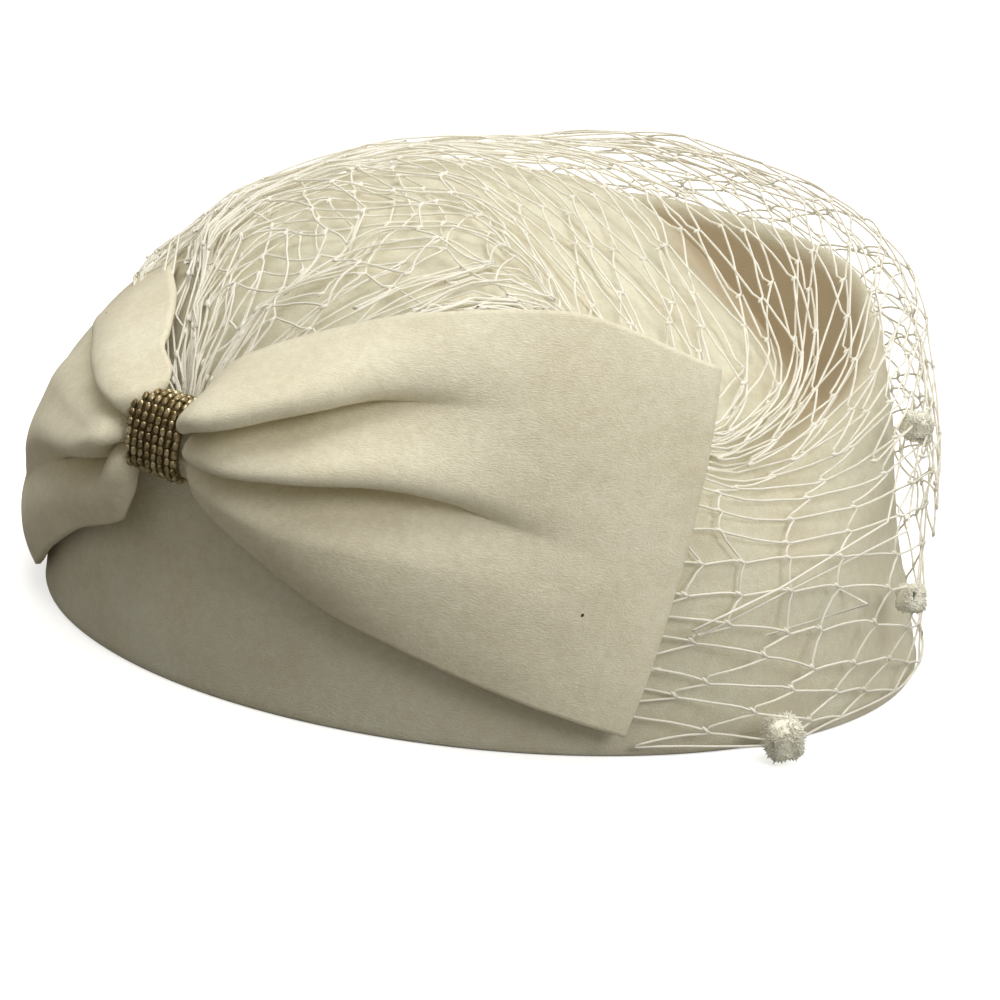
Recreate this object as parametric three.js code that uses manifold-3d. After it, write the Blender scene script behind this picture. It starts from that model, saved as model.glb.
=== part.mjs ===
// A felt pillbox hat. Its pieces are a blocked felt crown with a swirled dent in its tip, a felt bow
// pinched into pleats, a beaded band round the pinch, a coarse net veil that fans out from the band
// over the crown, and chenille dots on the veil. Millimetres, +Z up. The hat rests on its rim: +X is
// the way the veil falls, -Y is the side that carries the bow.
import * as THREE from 'three';
import { mergeVertices } from 'three/addons/utils/BufferGeometryUtils.js';
import Module from 'manifold-3d';

const wasm = await Module();
wasm.setup();

// Driving dimensions
const RIM_HALF_LENGTH = 101;
const RIM_HALF_WIDTH = 86;
const CROWN_HEIGHT = 98;
const CROWN_FELT = 2.4;
const POLE_X = -12; // the crown's highest point, from the middle of the rim
const POLE_Y = 2;
const WAIST_HEIGHT = 33; // where the side wall draws in above the rim

const BOW_FELT = 1.7;
const BOW_STANDOFF = 10; // how far the bow's wings stand off the rim's line
const PLEAT_DEPTH = 9;
const PLEAT_HALF_WIDTH = 0.15; // share of the bow's height
const PINCH_LENGTH = 125; // from the band to each wing's cut end, along the felt
const PINCH_RUN = 1.75; // how far the felt stays pinched past the band's edge
const PINCH_EASE_RUN = 25; // where it has left the band's frame, from the band's middle

const KNOT_TURN = -130.5; // degrees round the rim, where the band pinches the bow
const KNOT_FACING = -115; // degrees, the way the band's face looks
const BAND_WIDTH = 14;
const BAND_THICKNESS = 2;
const BAND_HALF_HEIGHT = 10;
const BAND_CENTRE_HEIGHT = 52.5;
const BAND_DEPTH = 11; // from the band's back to its face
const BAND_OUT = 7; // the band's face, from the rim's line
const BAND_SQUARENESS = 2.6;
const PINCH_ROOM = 0.5; // between the pinched felt's edges and the inside of the band
const PINCH_HALF_HEIGHT = BAND_HALF_HEIGHT - BAND_THICKNESS - PINCH_ROOM;

const NET_THICKNESS = 1;
const NET_STRAND = 1.3; // width of a strand
const NET_LIFT = 2.6; // the net's middle above the felt, where it lies closest
const NET_BALLOON = 15; // how far the net stands off over the back of the dent
const NET_SIDE = 6; // and off the side wall
const GATHER_WIDTH = 14;
const NET_COLUMNS = 14;
const NET_ROWS = 14;
const GATHER_ROWS = 2; // rows next to the band where the bunched net is closed

const SEAT_GAP = 0.3; // between pieces that touch
const DRAPE_GAP = 0.7; // least room between curved felt and what it lies on

// What the pieces are made of
const felt = new THREE.MeshStandardMaterial({ color: 0xd8d0bc, roughness: 0.95, metalness: 0 });
const beads = new THREE.MeshStandardMaterial({ color: 0x8a7448, roughness: 0.3, metalness: 0.9 });
const net = new THREE.MeshStandardMaterial({ color: 0xf0ead6, roughness: 0.7, metalness: 0 });
const chenille = new THREE.MeshStandardMaterial({ color: 0xeceada, roughness: 1, metalness: 0 });

const rad = THREE.MathUtils.degToRad;
const lerp = THREE.MathUtils.lerp;
const clamp = THREE.MathUtils.clamp;
const smooth = THREE.MathUtils.smoothstep;

// A table with named columns: each row becomes an object
const table = (columns, rows) =>
  rows.map((row) => Object.fromEntries(columns.map((name, i) => [name, row[i]])));

// Reads one column of a table between its rows, by a cubic with the slopes of its neighbours that
// never swings past a row. A period makes the table run round.
function readTable(rows, key, at, column, period = 0) {
  const n = rows.length;
  const x = (i) => rows[((i % n) + n) % n][key] + (period ? Math.floor(i / n) * period : 0);
  const y = (i) => rows[period ? ((i % n) + n) % n : clamp(i, 0, n - 1)][column];
  if (period) at = x(0) + ((((at - x(0)) % period) + period) % period);
  else at = clamp(at, x(0), x(n - 1));
  let i = 0;
  while (i < n - (period ? 1 : 2) && at >= x(i + 1)) i++;
  const slope = (k) => {
    const low = period ? k - 1 : Math.max(k - 1, 0);
    const high = period ? k + 1 : Math.min(k + 1, n - 1);
    if (low < k && k < high && (y(k) - y(low)) * (y(high) - y(k)) <= 0) return 0;
    return (y(high) - y(low)) / (x(high) - x(low));
  };
  const h = x(i + 1) - x(i);
  const t = (at - x(i)) / h;
  return (
    (2 * t ** 3 - 3 * t ** 2 + 1) * y(i) +
    (t ** 3 - 2 * t ** 2 + t) * h * slope(i) +
    (3 * t ** 2 - 2 * t ** 3) * y(i + 1) +
    (t ** 3 - t ** 2) * h * slope(i + 1)
  );
}

// The crown's sections, one for each turn round the rim. Out is the share of the way from the pole
// to the rim, up the share of the crown's height. Where there is no dent, its points lie on the dome.
const CROWN_SECTIONS = table(
  ['turn', 'waistOut', 'shoulderOut', 'shoulderUp', 'ridgeOut', 'ridgeUp',
    'dentOut', 'dentUp', 'lipOut', 'lipUp', 'topOut', 'topUp'],
  [
    [-150, 0.970, 0.870, 0.590, 0.785, 0.705, 0.675, 0.800, 0.545, 0.880, 0.300, 0.963],
    [-120, 0.985, 0.900, 0.580, 0.790, 0.725, 0.670, 0.825, 0.520, 0.900, 0.280, 0.970],
    [-90, 0.990, 0.910, 0.590, 0.795, 0.735, 0.670, 0.840, 0.520, 0.905, 0.270, 0.965],
    [-70, 0.975, 0.900, 0.530, 0.810, 0.640, 0.740, 0.700, 0.640, 0.770, 0.320, 0.910],
    [-52, 0.955, 0.900, 0.455, 0.830, 0.535, 0.775, 0.575, 0.720, 0.640, 0.360, 0.865],
    [-36, 0.940, 0.890, 0.450, 0.815, 0.545, 0.745, 0.585, 0.695, 0.662, 0.365, 0.865],
    [-22, 0.930, 0.880, 0.500, 0.810, 0.595, 0.725, 0.608, 0.668, 0.685, 0.360, 0.870],
    [-8, 0.920, 0.875, 0.585, 0.820, 0.695, 0.720, 0.600, 0.620, 0.720, 0.340, 0.900],
    [4, 0.916, 0.867, 0.655, 0.822, 0.780, 0.712, 0.565, 0.585, 0.755, 0.320, 0.925],
    [20, 0.920, 0.880, 0.690, 0.830, 0.840, 0.700, 0.585, 0.530, 0.830, 0.280, 0.960],
    [37, 0.935, 0.880, 0.715, 0.800, 0.870, 0.680, 0.630, 0.520, 0.880, 0.260, 0.980],
    [60, 0.955, 0.880, 0.735, 0.750, 0.890, 0.645, 0.780, 0.520, 0.930, 0.260, 0.990],
    [90, 0.970, 0.890, 0.715, 0.790, 0.840, 0.680, 0.895, 0.520, 0.950, 0.260, 0.990],
    [120, 0.975, 0.890, 0.670, 0.790, 0.795, 0.680, 0.870, 0.540, 0.930, 0.270, 0.985],
    [150, 0.975, 0.870, 0.615, 0.780, 0.735, 0.670, 0.820, 0.530, 0.895, 0.275, 0.973],
    [180, 0.960, 0.850, 0.600, 0.765, 0.710, 0.670, 0.795, 0.560, 0.875, 0.325, 0.965],
  ],
);
const FULL_TURN = 360;
const crownRead = (turn, column) => readTable(CROWN_SECTIONS, 'turn', turn, column, FULL_TURN);

const pole = new THREE.Vector3(POLE_X, POLE_Y, 0);
const rimPoint = (turn) =>
  new THREE.Vector3(RIM_HALF_LENGTH * Math.cos(rad(turn)), RIM_HALF_WIDTH * Math.sin(rad(turn)), 0);

// A place given by its turn, its distance out from the rim's line along the ray from the pole, and
// its height. Negative distances lie inside the rim.
function place(turn, out, up) {
  const ray = rimPoint(turn).sub(pole);
  const reach = ray.length();
  return pole.clone().addScaledVector(ray, (reach + out) / reach).setZ(up);
}
const reachOf = (turn) => rimPoint(turn).distanceTo(pole);

// The profile of the crown at one turn, from the rim (0) to the pole (1), as a function that gives
// {out, up} in millimetres. Bridged, it passes straight over the dent.
const SECTION_POINTS = 7;
const RIM_LEAD = 0.1; // the wall stands upright at the rim
function crownProfile(turn, bridged = false) {
  const read = (column) => crownRead(turn, column);
  const point = (out, up) => new THREE.Vector3(out, up, 0);
  const ridge = point(read('ridgeOut'), read('ridgeUp'));
  const lip = point(read('lipOut'), read('lipUp'));
  const dent = point(read('dentOut'), read('dentUp'));
  if (bridged) dent.y = Math.max(dent.y, (ridge.y + lip.y) / 2 + 0.01);
  const curve = new THREE.CatmullRomCurve3(
    [
      point(1, -RIM_LEAD),
      point(1, 0),
      point(read('waistOut'), WAIST_HEIGHT / CROWN_HEIGHT),
      point(read('shoulderOut'), read('shoulderUp')),
      ridge,
      dent,
      lip,
      point(read('topOut'), read('topUp')),
      point(0, 1),
      point(-crownRead(turn + FULL_TURN / 2, 'topOut'), crownRead(turn + FULL_TURN / 2, 'topUp')),
    ],
    false,
    'centripetal',
  );
  const reach = reachOf(turn);
  return (along) => {
    const p = curve.getPoint((1 + SECTION_POINTS * along) / (SECTION_POINTS + 2));
    return { out: (p.x - 1) * reach, up: Math.max(p.y, 0) * CROWN_HEIGHT };
  };
}

// How far out the crown's felt reaches at one turn and height, from the rim's line
const PROFILE_STEPS = 70;
function crownOut(turn) {
  const profile = crownProfile(turn);
  const line = Array.from({ length: PROFILE_STEPS + 1 }, (_, i) => profile(i / PROFILE_STEPS));
  return (up) => {
    for (let i = 0; i < PROFILE_STEPS; i++) {
      const [a, b] = [line[i], line[i + 1]];
      if (a.up <= up && b.up >= up) {
        return lerp(a.out, b.out, (up - a.up) / Math.max(b.up - a.up, 1e-6));
      }
    }
    return -reachOf(turn);
  };
}

// Collects points and faces, and gives them as one closed geometry
class Skin {
  points = [];
  faces = [];
  add(point) {
    this.points.push(point);
    return this.points.length - 1;
  }
  triangle(a, b, c) {
    this.faces.push(a, b, c);
  }
  quad(a, b, c, d) {
    this.triangle(a, b, c);
    this.triangle(a, c, d);
  }
  geometry() {
    const made = new THREE.BufferGeometry();
    const numbers = new Float32Array(this.points.flatMap((p) => p.toArray()));
    made.setAttribute('position', new THREE.BufferAttribute(numbers, 3));
    made.setIndex(this.faces);
    return mergeVertices(made, 1e-4);
  }
}

function meshOf(geometry, name, material) {
  geometry.computeVertexNormals();
  const mesh = new THREE.Mesh(geometry, material);
  mesh.name = name;
  return mesh;
}

// Crown: a felt shell of even thickness, open at the rim
const CROWN_SIDES = 48;
const CROWN_RINGS = 16;

function crownNormal(turn, along) {
  const step = 1e-3;
  const at = (t, a) => {
    const { out, up } = crownProfile(t)(a);
    return place(t, out, up);
  };
  const round = at(turn + 1, along).sub(at(turn - 1, along));
  const inward = at(turn, along + step).sub(at(turn, Math.max(along - step, 0)));
  return round.cross(inward).normalize();
}

function makeCrown() {
  const skin = new Skin();
  const turns = Array.from({ length: CROWN_SIDES }, (_, i) => (FULL_TURN * i) / CROWN_SIDES);
  const outer = [];
  const inner = [];
  for (let ring = 0; ring < CROWN_RINGS; ring++) {
    const along = ring / CROWN_RINGS;
    outer.push([]);
    inner.push([]);
    for (const turn of turns) {
      const { out, up } = crownProfile(turn)(along);
      const normal = crownNormal(turn, along);
      if (ring === 0) normal.setZ(0).normalize();
      const point = place(turn, out, up);
      outer[ring].push(skin.add(point));
      inner[ring].push(skin.add(point.clone().addScaledVector(normal, -CROWN_FELT)));
    }
  }
  const tip = skin.add(place(0, -reachOf(0), CROWN_HEIGHT));
  const innerTip = skin.add(place(0, -reachOf(0), CROWN_HEIGHT - CROWN_FELT));
  for (let i = 0; i < CROWN_SIDES; i++) {
    const next = (i + 1) % CROWN_SIDES;
    for (let ring = 0; ring < CROWN_RINGS - 1; ring++) {
      const [a, b] = [outer[ring], outer[ring + 1]];
      const [c, d] = [inner[ring], inner[ring + 1]];
      skin.quad(a[i], a[next], b[next], b[i]);
      skin.quad(c[next], c[i], d[i], d[next]);
    }
    skin.triangle(outer.at(-1)[i], outer.at(-1)[next], tip);
    skin.triangle(inner.at(-1)[next], inner.at(-1)[i], innerTip);
    skin.quad(outer[0][next], outer[0][i], inner[0][i], inner[0][next]);
  }
  return meshOf(skin.geometry(), 'crown', felt);
}

// A sheet of even thickness given by two grids of points, front[i][j] and back[i][j]
function makeSheet(front, back) {
  const skin = new Skin();
  const add = (grid) => grid.map((row) => row.map((p) => skin.add(p)));
  const [f, b] = [add(front), add(back)];
  const rows = f.length - 1;
  const columns = f[0].length - 1;
  for (let i = 0; i < rows; i++) {
    for (let j = 0; j < columns; j++) {
      skin.quad(f[i][j], f[i][j + 1], f[i + 1][j + 1], f[i + 1][j]);
      skin.quad(b[i][j], b[i + 1][j], b[i + 1][j + 1], b[i][j + 1]);
    }
    skin.quad(f[i][0], f[i + 1][0], b[i + 1][0], b[i][0]);
    skin.quad(f[i + 1][columns], f[i][columns], b[i][columns], b[i + 1][columns]);
  }
  for (let j = 0; j < columns; j++) {
    skin.quad(f[0][j + 1], f[0][j], b[0][j], b[0][j + 1]);
    skin.quad(f[rows][j], f[rows][j + 1], b[rows][j + 1], b[rows][j]);
  }
  return skin.geometry();
}

// Bow: one strip of felt from the cut end of its left wing, through the pinch, to the cut end of its
// right wing. Turn is where each section stands, lean slants it, top and bottom are shares of the
// crown's height, the offs and the bulge shares of the standoff, the pleats shares of their depth.
const BOW_SECTIONS = table(
  ['share', 'turn', 'lean', 'top', 'bottom', 'topOff', 'bottomOff', 'bulge',
    'upperAt', 'upperPleat', 'lowerAt', 'lowerPleat'],
  [
    [-1.00, -208, 2, 0.66, 0.10, -2.3, 0.15, 0.90, 0.30, 0.00, 0.70, 0.00],
    [-0.75, -190, 1, 0.73, 0.05, -2.5, 0.20, 1.30, 0.27, 0.05, 0.72, 0.05],
    [-0.50, -172, 0, 0.75, 0.06, -2.6, 0.20, 1.40, 0.24, 0.15, 0.75, 0.05],
    [-0.40, -165, 0, 0.745, 0.16, -2.5, 0.15, 1.40, 0.24, 0.45, 0.76, 0.20],
    [-0.28, -156, 0, 0.72, 0.245, -2.2, 0.10, 1.30, 0.25, 0.85, 0.755, 0.60],
    [-0.15, -145, 0, 0.68, 0.30, -1.6, -0.10, 1.10, 0.29, 1.00, 0.73, 0.90],
    [-0.07, -137, 0, 0.612, 0.459, 0.29, 0.29, 0.18, 0.35, 0.22, 0.67, 0.22],
    [0.07, -125, 0, 0.612, 0.459, 0.29, 0.29, 0.18, 0.35, 0.22, 0.67, 0.22],
    [0.15, -119.5, 0, 0.70, 0.38, -0.5, 0.1, 0.90, 0.35, 0.95, 0.60, 0.85],
    [0.30, -113, 0, 0.78, 0.32, -1.0, 0.30, 1.10, 0.32, 1.00, 0.57, 0.85],
    [0.50, -102, 0, 0.87, 0.24, -1.1, 0.50, 0.90, 0.27, 0.25, 0.57, 0.50],
    [0.75, -85, 3, 0.93, 0.16, -1.2, 0.50, 0.6, 0.25, 0.00, 0.57, 0.10],
    [1.00, -67, 6, 0.825, 0.07, -1.0, 0.45, 0.3, 0.25, 0.00, 0.57, 0.00],
  ],
);
const bowRead = (share, column) => readTable(BOW_SECTIONS, 'share', share, column);
const BOW_STATIONS = 40;
const STATION_CROWDING = 1.2;
const BOW_STEPS = 17;

// The net runs under the right wing, so that wing keeps room for it
const NET_ROOM = NET_LIFT + NET_THICKNESS / 2 + DRAPE_GAP + SEAT_GAP;

// How much of a section the band holds: all of it inside the band, none from the ease on
const PINCH_HELD = (BAND_WIDTH / 2 + PINCH_RUN) / PINCH_LENGTH;
const PINCH_EASE = PINCH_EASE_RUN / PINCH_LENGTH;
const heldBy = (share) => 1 - smooth(Math.abs(share), PINCH_HELD, PINCH_EASE);

// What moves the table's pinched section into the band: to the band's height and under its face
function pinchShift(across) {
  const read = (column) => bowRead(0, column);
  const face = (read('topOff') + read('bulge')) * BOW_STANDOFF;
  return {
    up:
      BAND_CENTRE_HEIGHT + (1 - 2 * across) * PINCH_HALF_HEIGHT -
      lerp(read('top'), read('bottom'), across) * CROWN_HEIGHT,
    out: BAND_OUT - BAND_THICKNESS - SEAT_GAP - face,
  };
}

function bowFace(share, across) {
  const read = (column) => bowRead(share, column);
  const shift = pinchShift(across);
  const held = heldBy(share);
  const turn = read('turn') + read('lean') * (1 - 2 * across);
  const up = lerp(read('top'), read('bottom'), across) * CROWN_HEIGHT + held * shift.up;
  const rise = 1 - Math.abs(2 * across - 1) ** BAND_SQUARENESS;
  const valley = (at) => Math.max(0, 1 - Math.abs(across - at) / PLEAT_HALF_WIDTH) ** 2;
  const off = lerp(read('topOff'), read('bottomOff'), across) + read('bulge') * rise;
  const pleats =
    valley(read('upperAt')) * read('upperPleat') + valley(read('lowerAt')) * read('lowerPleat');
  return { turn, up, out: off * BOW_STANDOFF - pleats * PLEAT_DEPTH + held * shift.out };
}

// Inside the band the felt runs straight along the band's own frame, and eases out of it on each side
const pinchOut = new THREE.Vector3(Math.cos(rad(KNOT_FACING)), Math.sin(rad(KNOT_FACING)), 0);
const pinchAlong = new THREE.Vector3(-pinchOut.y, pinchOut.x, 0);
function bowPlace(share, turn, out, up) {
  const inBand = rimPoint(KNOT_TURN)
    .addScaledVector(pinchAlong, share * PINCH_LENGTH)
    .addScaledVector(pinchOut, out)
    .setZ(up);
  return place(turn, out, up).lerp(inBand, heldBy(share));
}

function makeBow() {
  const front = [];
  const back = [];
  for (let i = 0; i <= BOW_STATIONS; i++) {
    // Stations lie closer together towards the pinch
    const step = (2 * i) / BOW_STATIONS - 1;
    const share = Math.sign(step) * Math.abs(step) ** STATION_CROWDING;
    const room = share > 0.1 ? NET_ROOM : DRAPE_GAP;
    front.push([]);
    back.push([]);
    for (let j = 0; j <= BOW_STEPS; j++) {
      const across = j / BOW_STEPS;
      const { turn, up, out } = bowFace(share, across);
      const nudge = 0.02;
      const [above, below] = [bowFace(share, across - nudge), bowFace(share, across + nudge)];
      const slope = (above.out - below.out) / Math.max(above.up - below.up, 1e-3);
      const through = BOW_FELT * Math.min(Math.hypot(1, slope), 2.5);
      const rest = crownOut(turn)(up) + room + through;
      const face = Math.max(out, rest);
      front[i].push(bowPlace(share, turn, face, up));
      back[i].push(bowPlace(share, turn, face - through, up));
    }
  }
  return meshOf(makeSheet(front, back), 'bow', felt);
}

// Band: a closed ring round the pinch, its back on the crown
const BAND_STEPS = 28;
function makeBand() {
  const power = 2 / BAND_SQUARENESS;
  const ring = (inset) =>
    Array.from({ length: BAND_STEPS }, (_, i) => {
      const angle = rad((FULL_TURN * i) / BAND_STEPS);
      const bend = (value, half) => Math.sign(value) * half * Math.abs(value) ** power;
      return new THREE.Vector2(
        BAND_OUT - BAND_DEPTH / 2 + bend(Math.cos(angle), BAND_DEPTH / 2 - inset),
        BAND_CENTRE_HEIGHT + bend(Math.sin(angle), BAND_HALF_HEIGHT - inset),
      );
    });
  const shape = new THREE.Shape(ring(0));
  shape.holes.push(new THREE.Path(ring(BAND_THICKNESS).reverse()));
  const geometry = new THREE.ExtrudeGeometry(shape, { depth: BAND_WIDTH, bevelEnabled: false });
  geometry.translate(0, 0, -BAND_WIDTH / 2);
  const upward = new THREE.Vector3(0, 0, 1);
  const frame = new THREE.Matrix4().makeBasis(pinchOut, upward, pinchOut.clone().cross(upward));
  frame.setPosition(rimPoint(KNOT_TURN));
  geometry.applyMatrix4(frame);
  geometry.deleteAttribute('normal');
  geometry.deleteAttribute('uv');
  return meshOf(mergeVertices(geometry, 1e-4), 'bead_band', beads);
}

// Veil: a fan of diamond net from the band to the rim. Across runs over the fan from the bow's side to
// the back, down from the band to the free edge. The fan is laid out on a flat disk whose middle is
// the pole and whose edge is the rim, and then laid over the bridged crown.
const VEIL_EDGE = table(
  ['across', 'turn', 'reach'],
  [
    [0.00, -74, 0.985],
    [0.25, -38, 0.985],
    [0.50, -6, 0.985],
    [0.75, 38, 0.970],
    [1.00, 104, 0.860],
  ],
);
const GATHER_TURN = KNOT_TURN;
const GATHER_REACH = 0.56;
// Where the net stands away from the felt: the middle of each puff and how far it spreads
const PUFFS = table(
  ['lift', 'turn', 'spread', 'reach', 'depth'],
  [
    [NET_BALLOON, 75, 48, 0.60, 0.30],
    [NET_SIDE, -5, 40, 0.85, 0.20],
  ],
);
const disk = (turn, reach) =>
  new THREE.Vector2(reach * Math.cos(rad(turn)), reach * Math.sin(rad(turn)));
const edgeRead = (across, column) => readTable(VEIL_EDGE, 'across', across, column);

function veilPlace(across, down) {
  const edge = disk(edgeRead(across, 'turn'), edgeRead(across, 'reach'));
  const spread = GATHER_WIDTH / RIM_HALF_WIDTH;
  const side = disk(GATHER_TURN + 90, spread * (0.5 - across));
  const start = disk(GATHER_TURN, GATHER_REACH).add(side);
  const spot = start.lerp(edge, down);
  const reach = spot.length();
  const turn = THREE.MathUtils.radToDeg(Math.atan2(spot.y, spot.x));
  // The net balloons over the dent at the back, stands a little off the side, and comes in again at
  // its free edge
  const bump = (value, centre, width) => Math.exp(-(((value - centre) / width) ** 2));
  const free = smooth(down, 0.1, 0.45) * (1 - smooth(down, 0.8, 1));
  const puff = PUFFS.reduce(
    (sum, p) => sum + p.lift * bump(turn, p.turn, p.spread) * bump(reach, p.reach, p.depth),
    0,
  );
  const lift = NET_LIFT + puff * free;
  return { turn, along: 1 - reach, lift };
}

function veilPoint(across, down, above = 0) {
  const at = (a, d) => {
    const spot = veilPlace(a, d);
    const { out, up } = crownProfile(spot.turn, true)(spot.along);
    return place(spot.turn, out, up);
  };
  const step = 5e-3;
  const middle = at(across, down);
  const sideways = at(across + step, down).sub(at(across - step, down));
  const outward = at(across, down + step).sub(at(across, down - step));
  const normal = outward.cross(sideways).normalize();
  return middle.addScaledVector(normal, veilPlace(across, down).lift + above);
}

// One row per cell of the net, made of the cell's corners in order round it
function netCells() {
  const cells = [];
  for (let i = 0; i <= NET_COLUMNS; i++) {
    for (let j = 0; j <= NET_ROWS; j++) {
      if ((i + j) % 2 === 0) continue;
      const corners = [[i - 1, j], [i, j + 1], [i + 1, j], [i, j - 1]].filter(
        ([a, b]) => a >= 0 && b >= 0 && a <= NET_COLUMNS && b <= NET_ROWS,
      );
      cells.push({ corners, closed: j < GATHER_ROWS });
    }
  }
  return cells;
}

const ROW_GROWTH = 1.15; // the rows grow longer away from the band
const LONG_STRAND = 10;
const netSpot = ([i, j]) =>
  new THREE.Vector2(i / NET_COLUMNS, (j / NET_ROWS) ** ROW_GROWTH);
const spotPoint = (spot) => veilPoint(spot.x, spot.y);

function makeVeil() {
  const skin = new Skin();
  const half = NET_THICKNESS / 2;
  const seen = new Map();
  const add = (spot, side) => {
    const key = [spot.x.toFixed(6), spot.y.toFixed(6), side].join();
    if (!seen.has(key)) seen.set(key, skin.add(veilPoint(spot.x, spot.y, side * half)));
    return seen.get(key);
  };
  const uses = new Map();
  for (const { corners, closed } of netCells()) {
    const loop = corners.map(netSpot);
    // Each long side of the cell gets a point in its middle, so that it follows the curve
    const ring = loop.flatMap((p, k) => {
      const q = loop[(k + 1) % loop.length];
      const long = spotPoint(p).distanceTo(spotPoint(q)) > LONG_STRAND;
      return long ? [p, p.clone().lerp(q, 0.5)] : [p];
    });
    const centre = loop.reduce((sum, p) => sum.add(p), new THREE.Vector2()).divideScalar(loop.length);
    // The least distance from the cell's middle to its sides
    const middle = spotPoint(centre);
    const room = Math.min(
      ...loop.map((p, k) => {
        const side = new THREE.Line3(spotPoint(p), spotPoint(loop[(k + 1) % loop.length]));
        return side.closestPointToPoint(middle, true, new THREE.Vector3()).distanceTo(middle);
      }),
    );
    const inset = clamp(NET_STRAND / 2 / room, 0.05, 0.45);
    const hole = ring.map((p) => p.clone().lerp(centre, inset));
    ring.forEach((p, k) => {
      const q = ring[(k + 1) % ring.length];
      const [r, s] = [hole[(k + 1) % ring.length], hole[k]];
      const edge = [p, q].map((e) => e.toArray().map((x) => x.toFixed(6)).join()).sort().join(';');
      uses.set(edge, [...(uses.get(edge) ?? []), [p, q]]);
      if (closed) {
        skin.triangle(add(p, 1), add(q, 1), add(centre, 1));
        skin.triangle(add(q, -1), add(p, -1), add(centre, -1));
      } else {
        skin.quad(add(p, 1), add(q, 1), add(r, 1), add(s, 1));
        skin.quad(add(q, -1), add(p, -1), add(s, -1), add(r, -1));
        skin.quad(add(s, 1), add(r, 1), add(r, -1), add(s, -1));
      }
    });
  }
  // Sides that only one cell has are the net's border
  for (const [[p, q], second] of uses.values()) {
    if (!second) skin.quad(add(q, 1), add(p, 1), add(p, -1), add(q, -1));
  }
  return meshOf(skin.geometry(), 'veil', net);
}

// Chenille dots: short locks of chenille fused round a small head, each seated on a knot of the net
const DOTS = table(
  ['name', 'column', 'row', 'size'],
  [
    ['chenille_dot_side', 7, 11, 8],
    ['chenille_dot_low', 5, 13, 7],
    ['chenille_dot_front', 2, 14, 10.5],
  ],
);
const FLOOR_ROOM = 1.12; // keeps the lowest dot off the surface that the rim rests on
const LOCKS = 12;
const LOCK_SIDES = 4;

function solidOf(geometry) {
  const bare = geometry.clone();
  bare.deleteAttribute('normal');
  bare.deleteAttribute('uv');
  const merged = mergeVertices(bare, 1e-4);
  return new wasm.Manifold(
    new wasm.Mesh({
      numProp: 3,
      vertProperties: merged.attributes.position.array,
      triVerts: new Uint32Array(merged.index.array),
    }),
  );
}

function geometryOf(solid) {
  const { vertProperties, triVerts } = solid.getMesh();
  const made = new THREE.BufferGeometry();
  made.setAttribute('position', new THREE.BufferAttribute(new Float32Array(vertProperties), 3));
  made.setIndex(new THREE.BufferAttribute(new Uint32Array(triVerts), 1));
  return made;
}

// Even directions round a ball, by the golden angle
const direction = (i, count) => {
  const height = 1 - (2 * i + 1) / count;
  const angle = i * Math.PI * (3 - Math.sqrt(5));
  const ring = Math.sqrt(1 - height * height);
  return new THREE.Vector3(ring * Math.cos(angle), ring * Math.sin(angle), height);
};

function makeDot({ name, column, row, size }) {
  const radius = size / 2;
  let tuft = solidOf(new THREE.IcosahedronGeometry(radius * 0.62, 0));
  for (let i = 0; i < LOCKS; i++) {
    const lock = new THREE.CylinderGeometry(radius * 0.3, radius * 0.22, radius * 0.7, LOCK_SIDES);
    lock.translate(0, radius * 0.65, 0);
    const turned = new THREE.Quaternion().setFromUnitVectors(
      new THREE.Vector3(0, 1, 0),
      direction(i, LOCKS),
    );
    tuft = tuft.add(solidOf(lock.applyQuaternion(turned)));
  }
  const mesh = meshOf(geometryOf(tuft), name, chenille);
  const knot = netSpot([column, row]);
  mesh.position.copy(veilPoint(knot.x, knot.y, NET_THICKNESS / 2 + SEAT_GAP + radius));
  mesh.position.z = Math.max(mesh.position.z, radius * FLOOR_ROOM);
  return mesh;
}

const hat = new THREE.Group();
hat.add(makeCrown(), makeBow(), makeBand(), makeVeil(), ...DOTS.map(makeDot));

// The origin is the middle of the hat's box, on the surface that the rim rests on
const middle = new THREE.Box3().setFromObject(hat).getCenter(new THREE.Vector3());
hat.position.set(-middle.x, -middle.y, 0);

export default hat;
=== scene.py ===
# %% [markdown]
# # A felt pillbox hat with a bow and a net veil
# The hat stands on its rim. Its solids are packed already and give every true size and place, in
# metres, with +X the way the veil falls and -Y the side that carries the bow. Each cell below makes
# one piece or one finish around those solids.

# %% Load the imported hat
import math

import bmesh
import bpy
import numpy as np
from mathutils import Euler, Matrix, Vector, noise


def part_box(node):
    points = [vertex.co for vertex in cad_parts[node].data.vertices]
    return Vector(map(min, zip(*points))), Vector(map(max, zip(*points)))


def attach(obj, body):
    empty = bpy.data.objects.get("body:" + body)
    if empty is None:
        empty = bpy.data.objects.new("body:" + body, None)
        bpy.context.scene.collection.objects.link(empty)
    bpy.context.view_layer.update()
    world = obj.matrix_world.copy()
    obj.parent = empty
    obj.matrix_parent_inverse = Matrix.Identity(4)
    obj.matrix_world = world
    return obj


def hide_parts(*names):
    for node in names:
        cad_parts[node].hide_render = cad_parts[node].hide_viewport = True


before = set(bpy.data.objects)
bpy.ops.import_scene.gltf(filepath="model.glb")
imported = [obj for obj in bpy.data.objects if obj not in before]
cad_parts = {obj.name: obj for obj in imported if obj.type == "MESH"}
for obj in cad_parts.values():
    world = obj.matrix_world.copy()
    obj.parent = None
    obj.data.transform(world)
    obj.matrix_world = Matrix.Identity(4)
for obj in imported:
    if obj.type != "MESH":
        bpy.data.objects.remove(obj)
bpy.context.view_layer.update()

MM = 0.001
chance = np.random.default_rng(11)
print("solids:", sorted(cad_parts))

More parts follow.
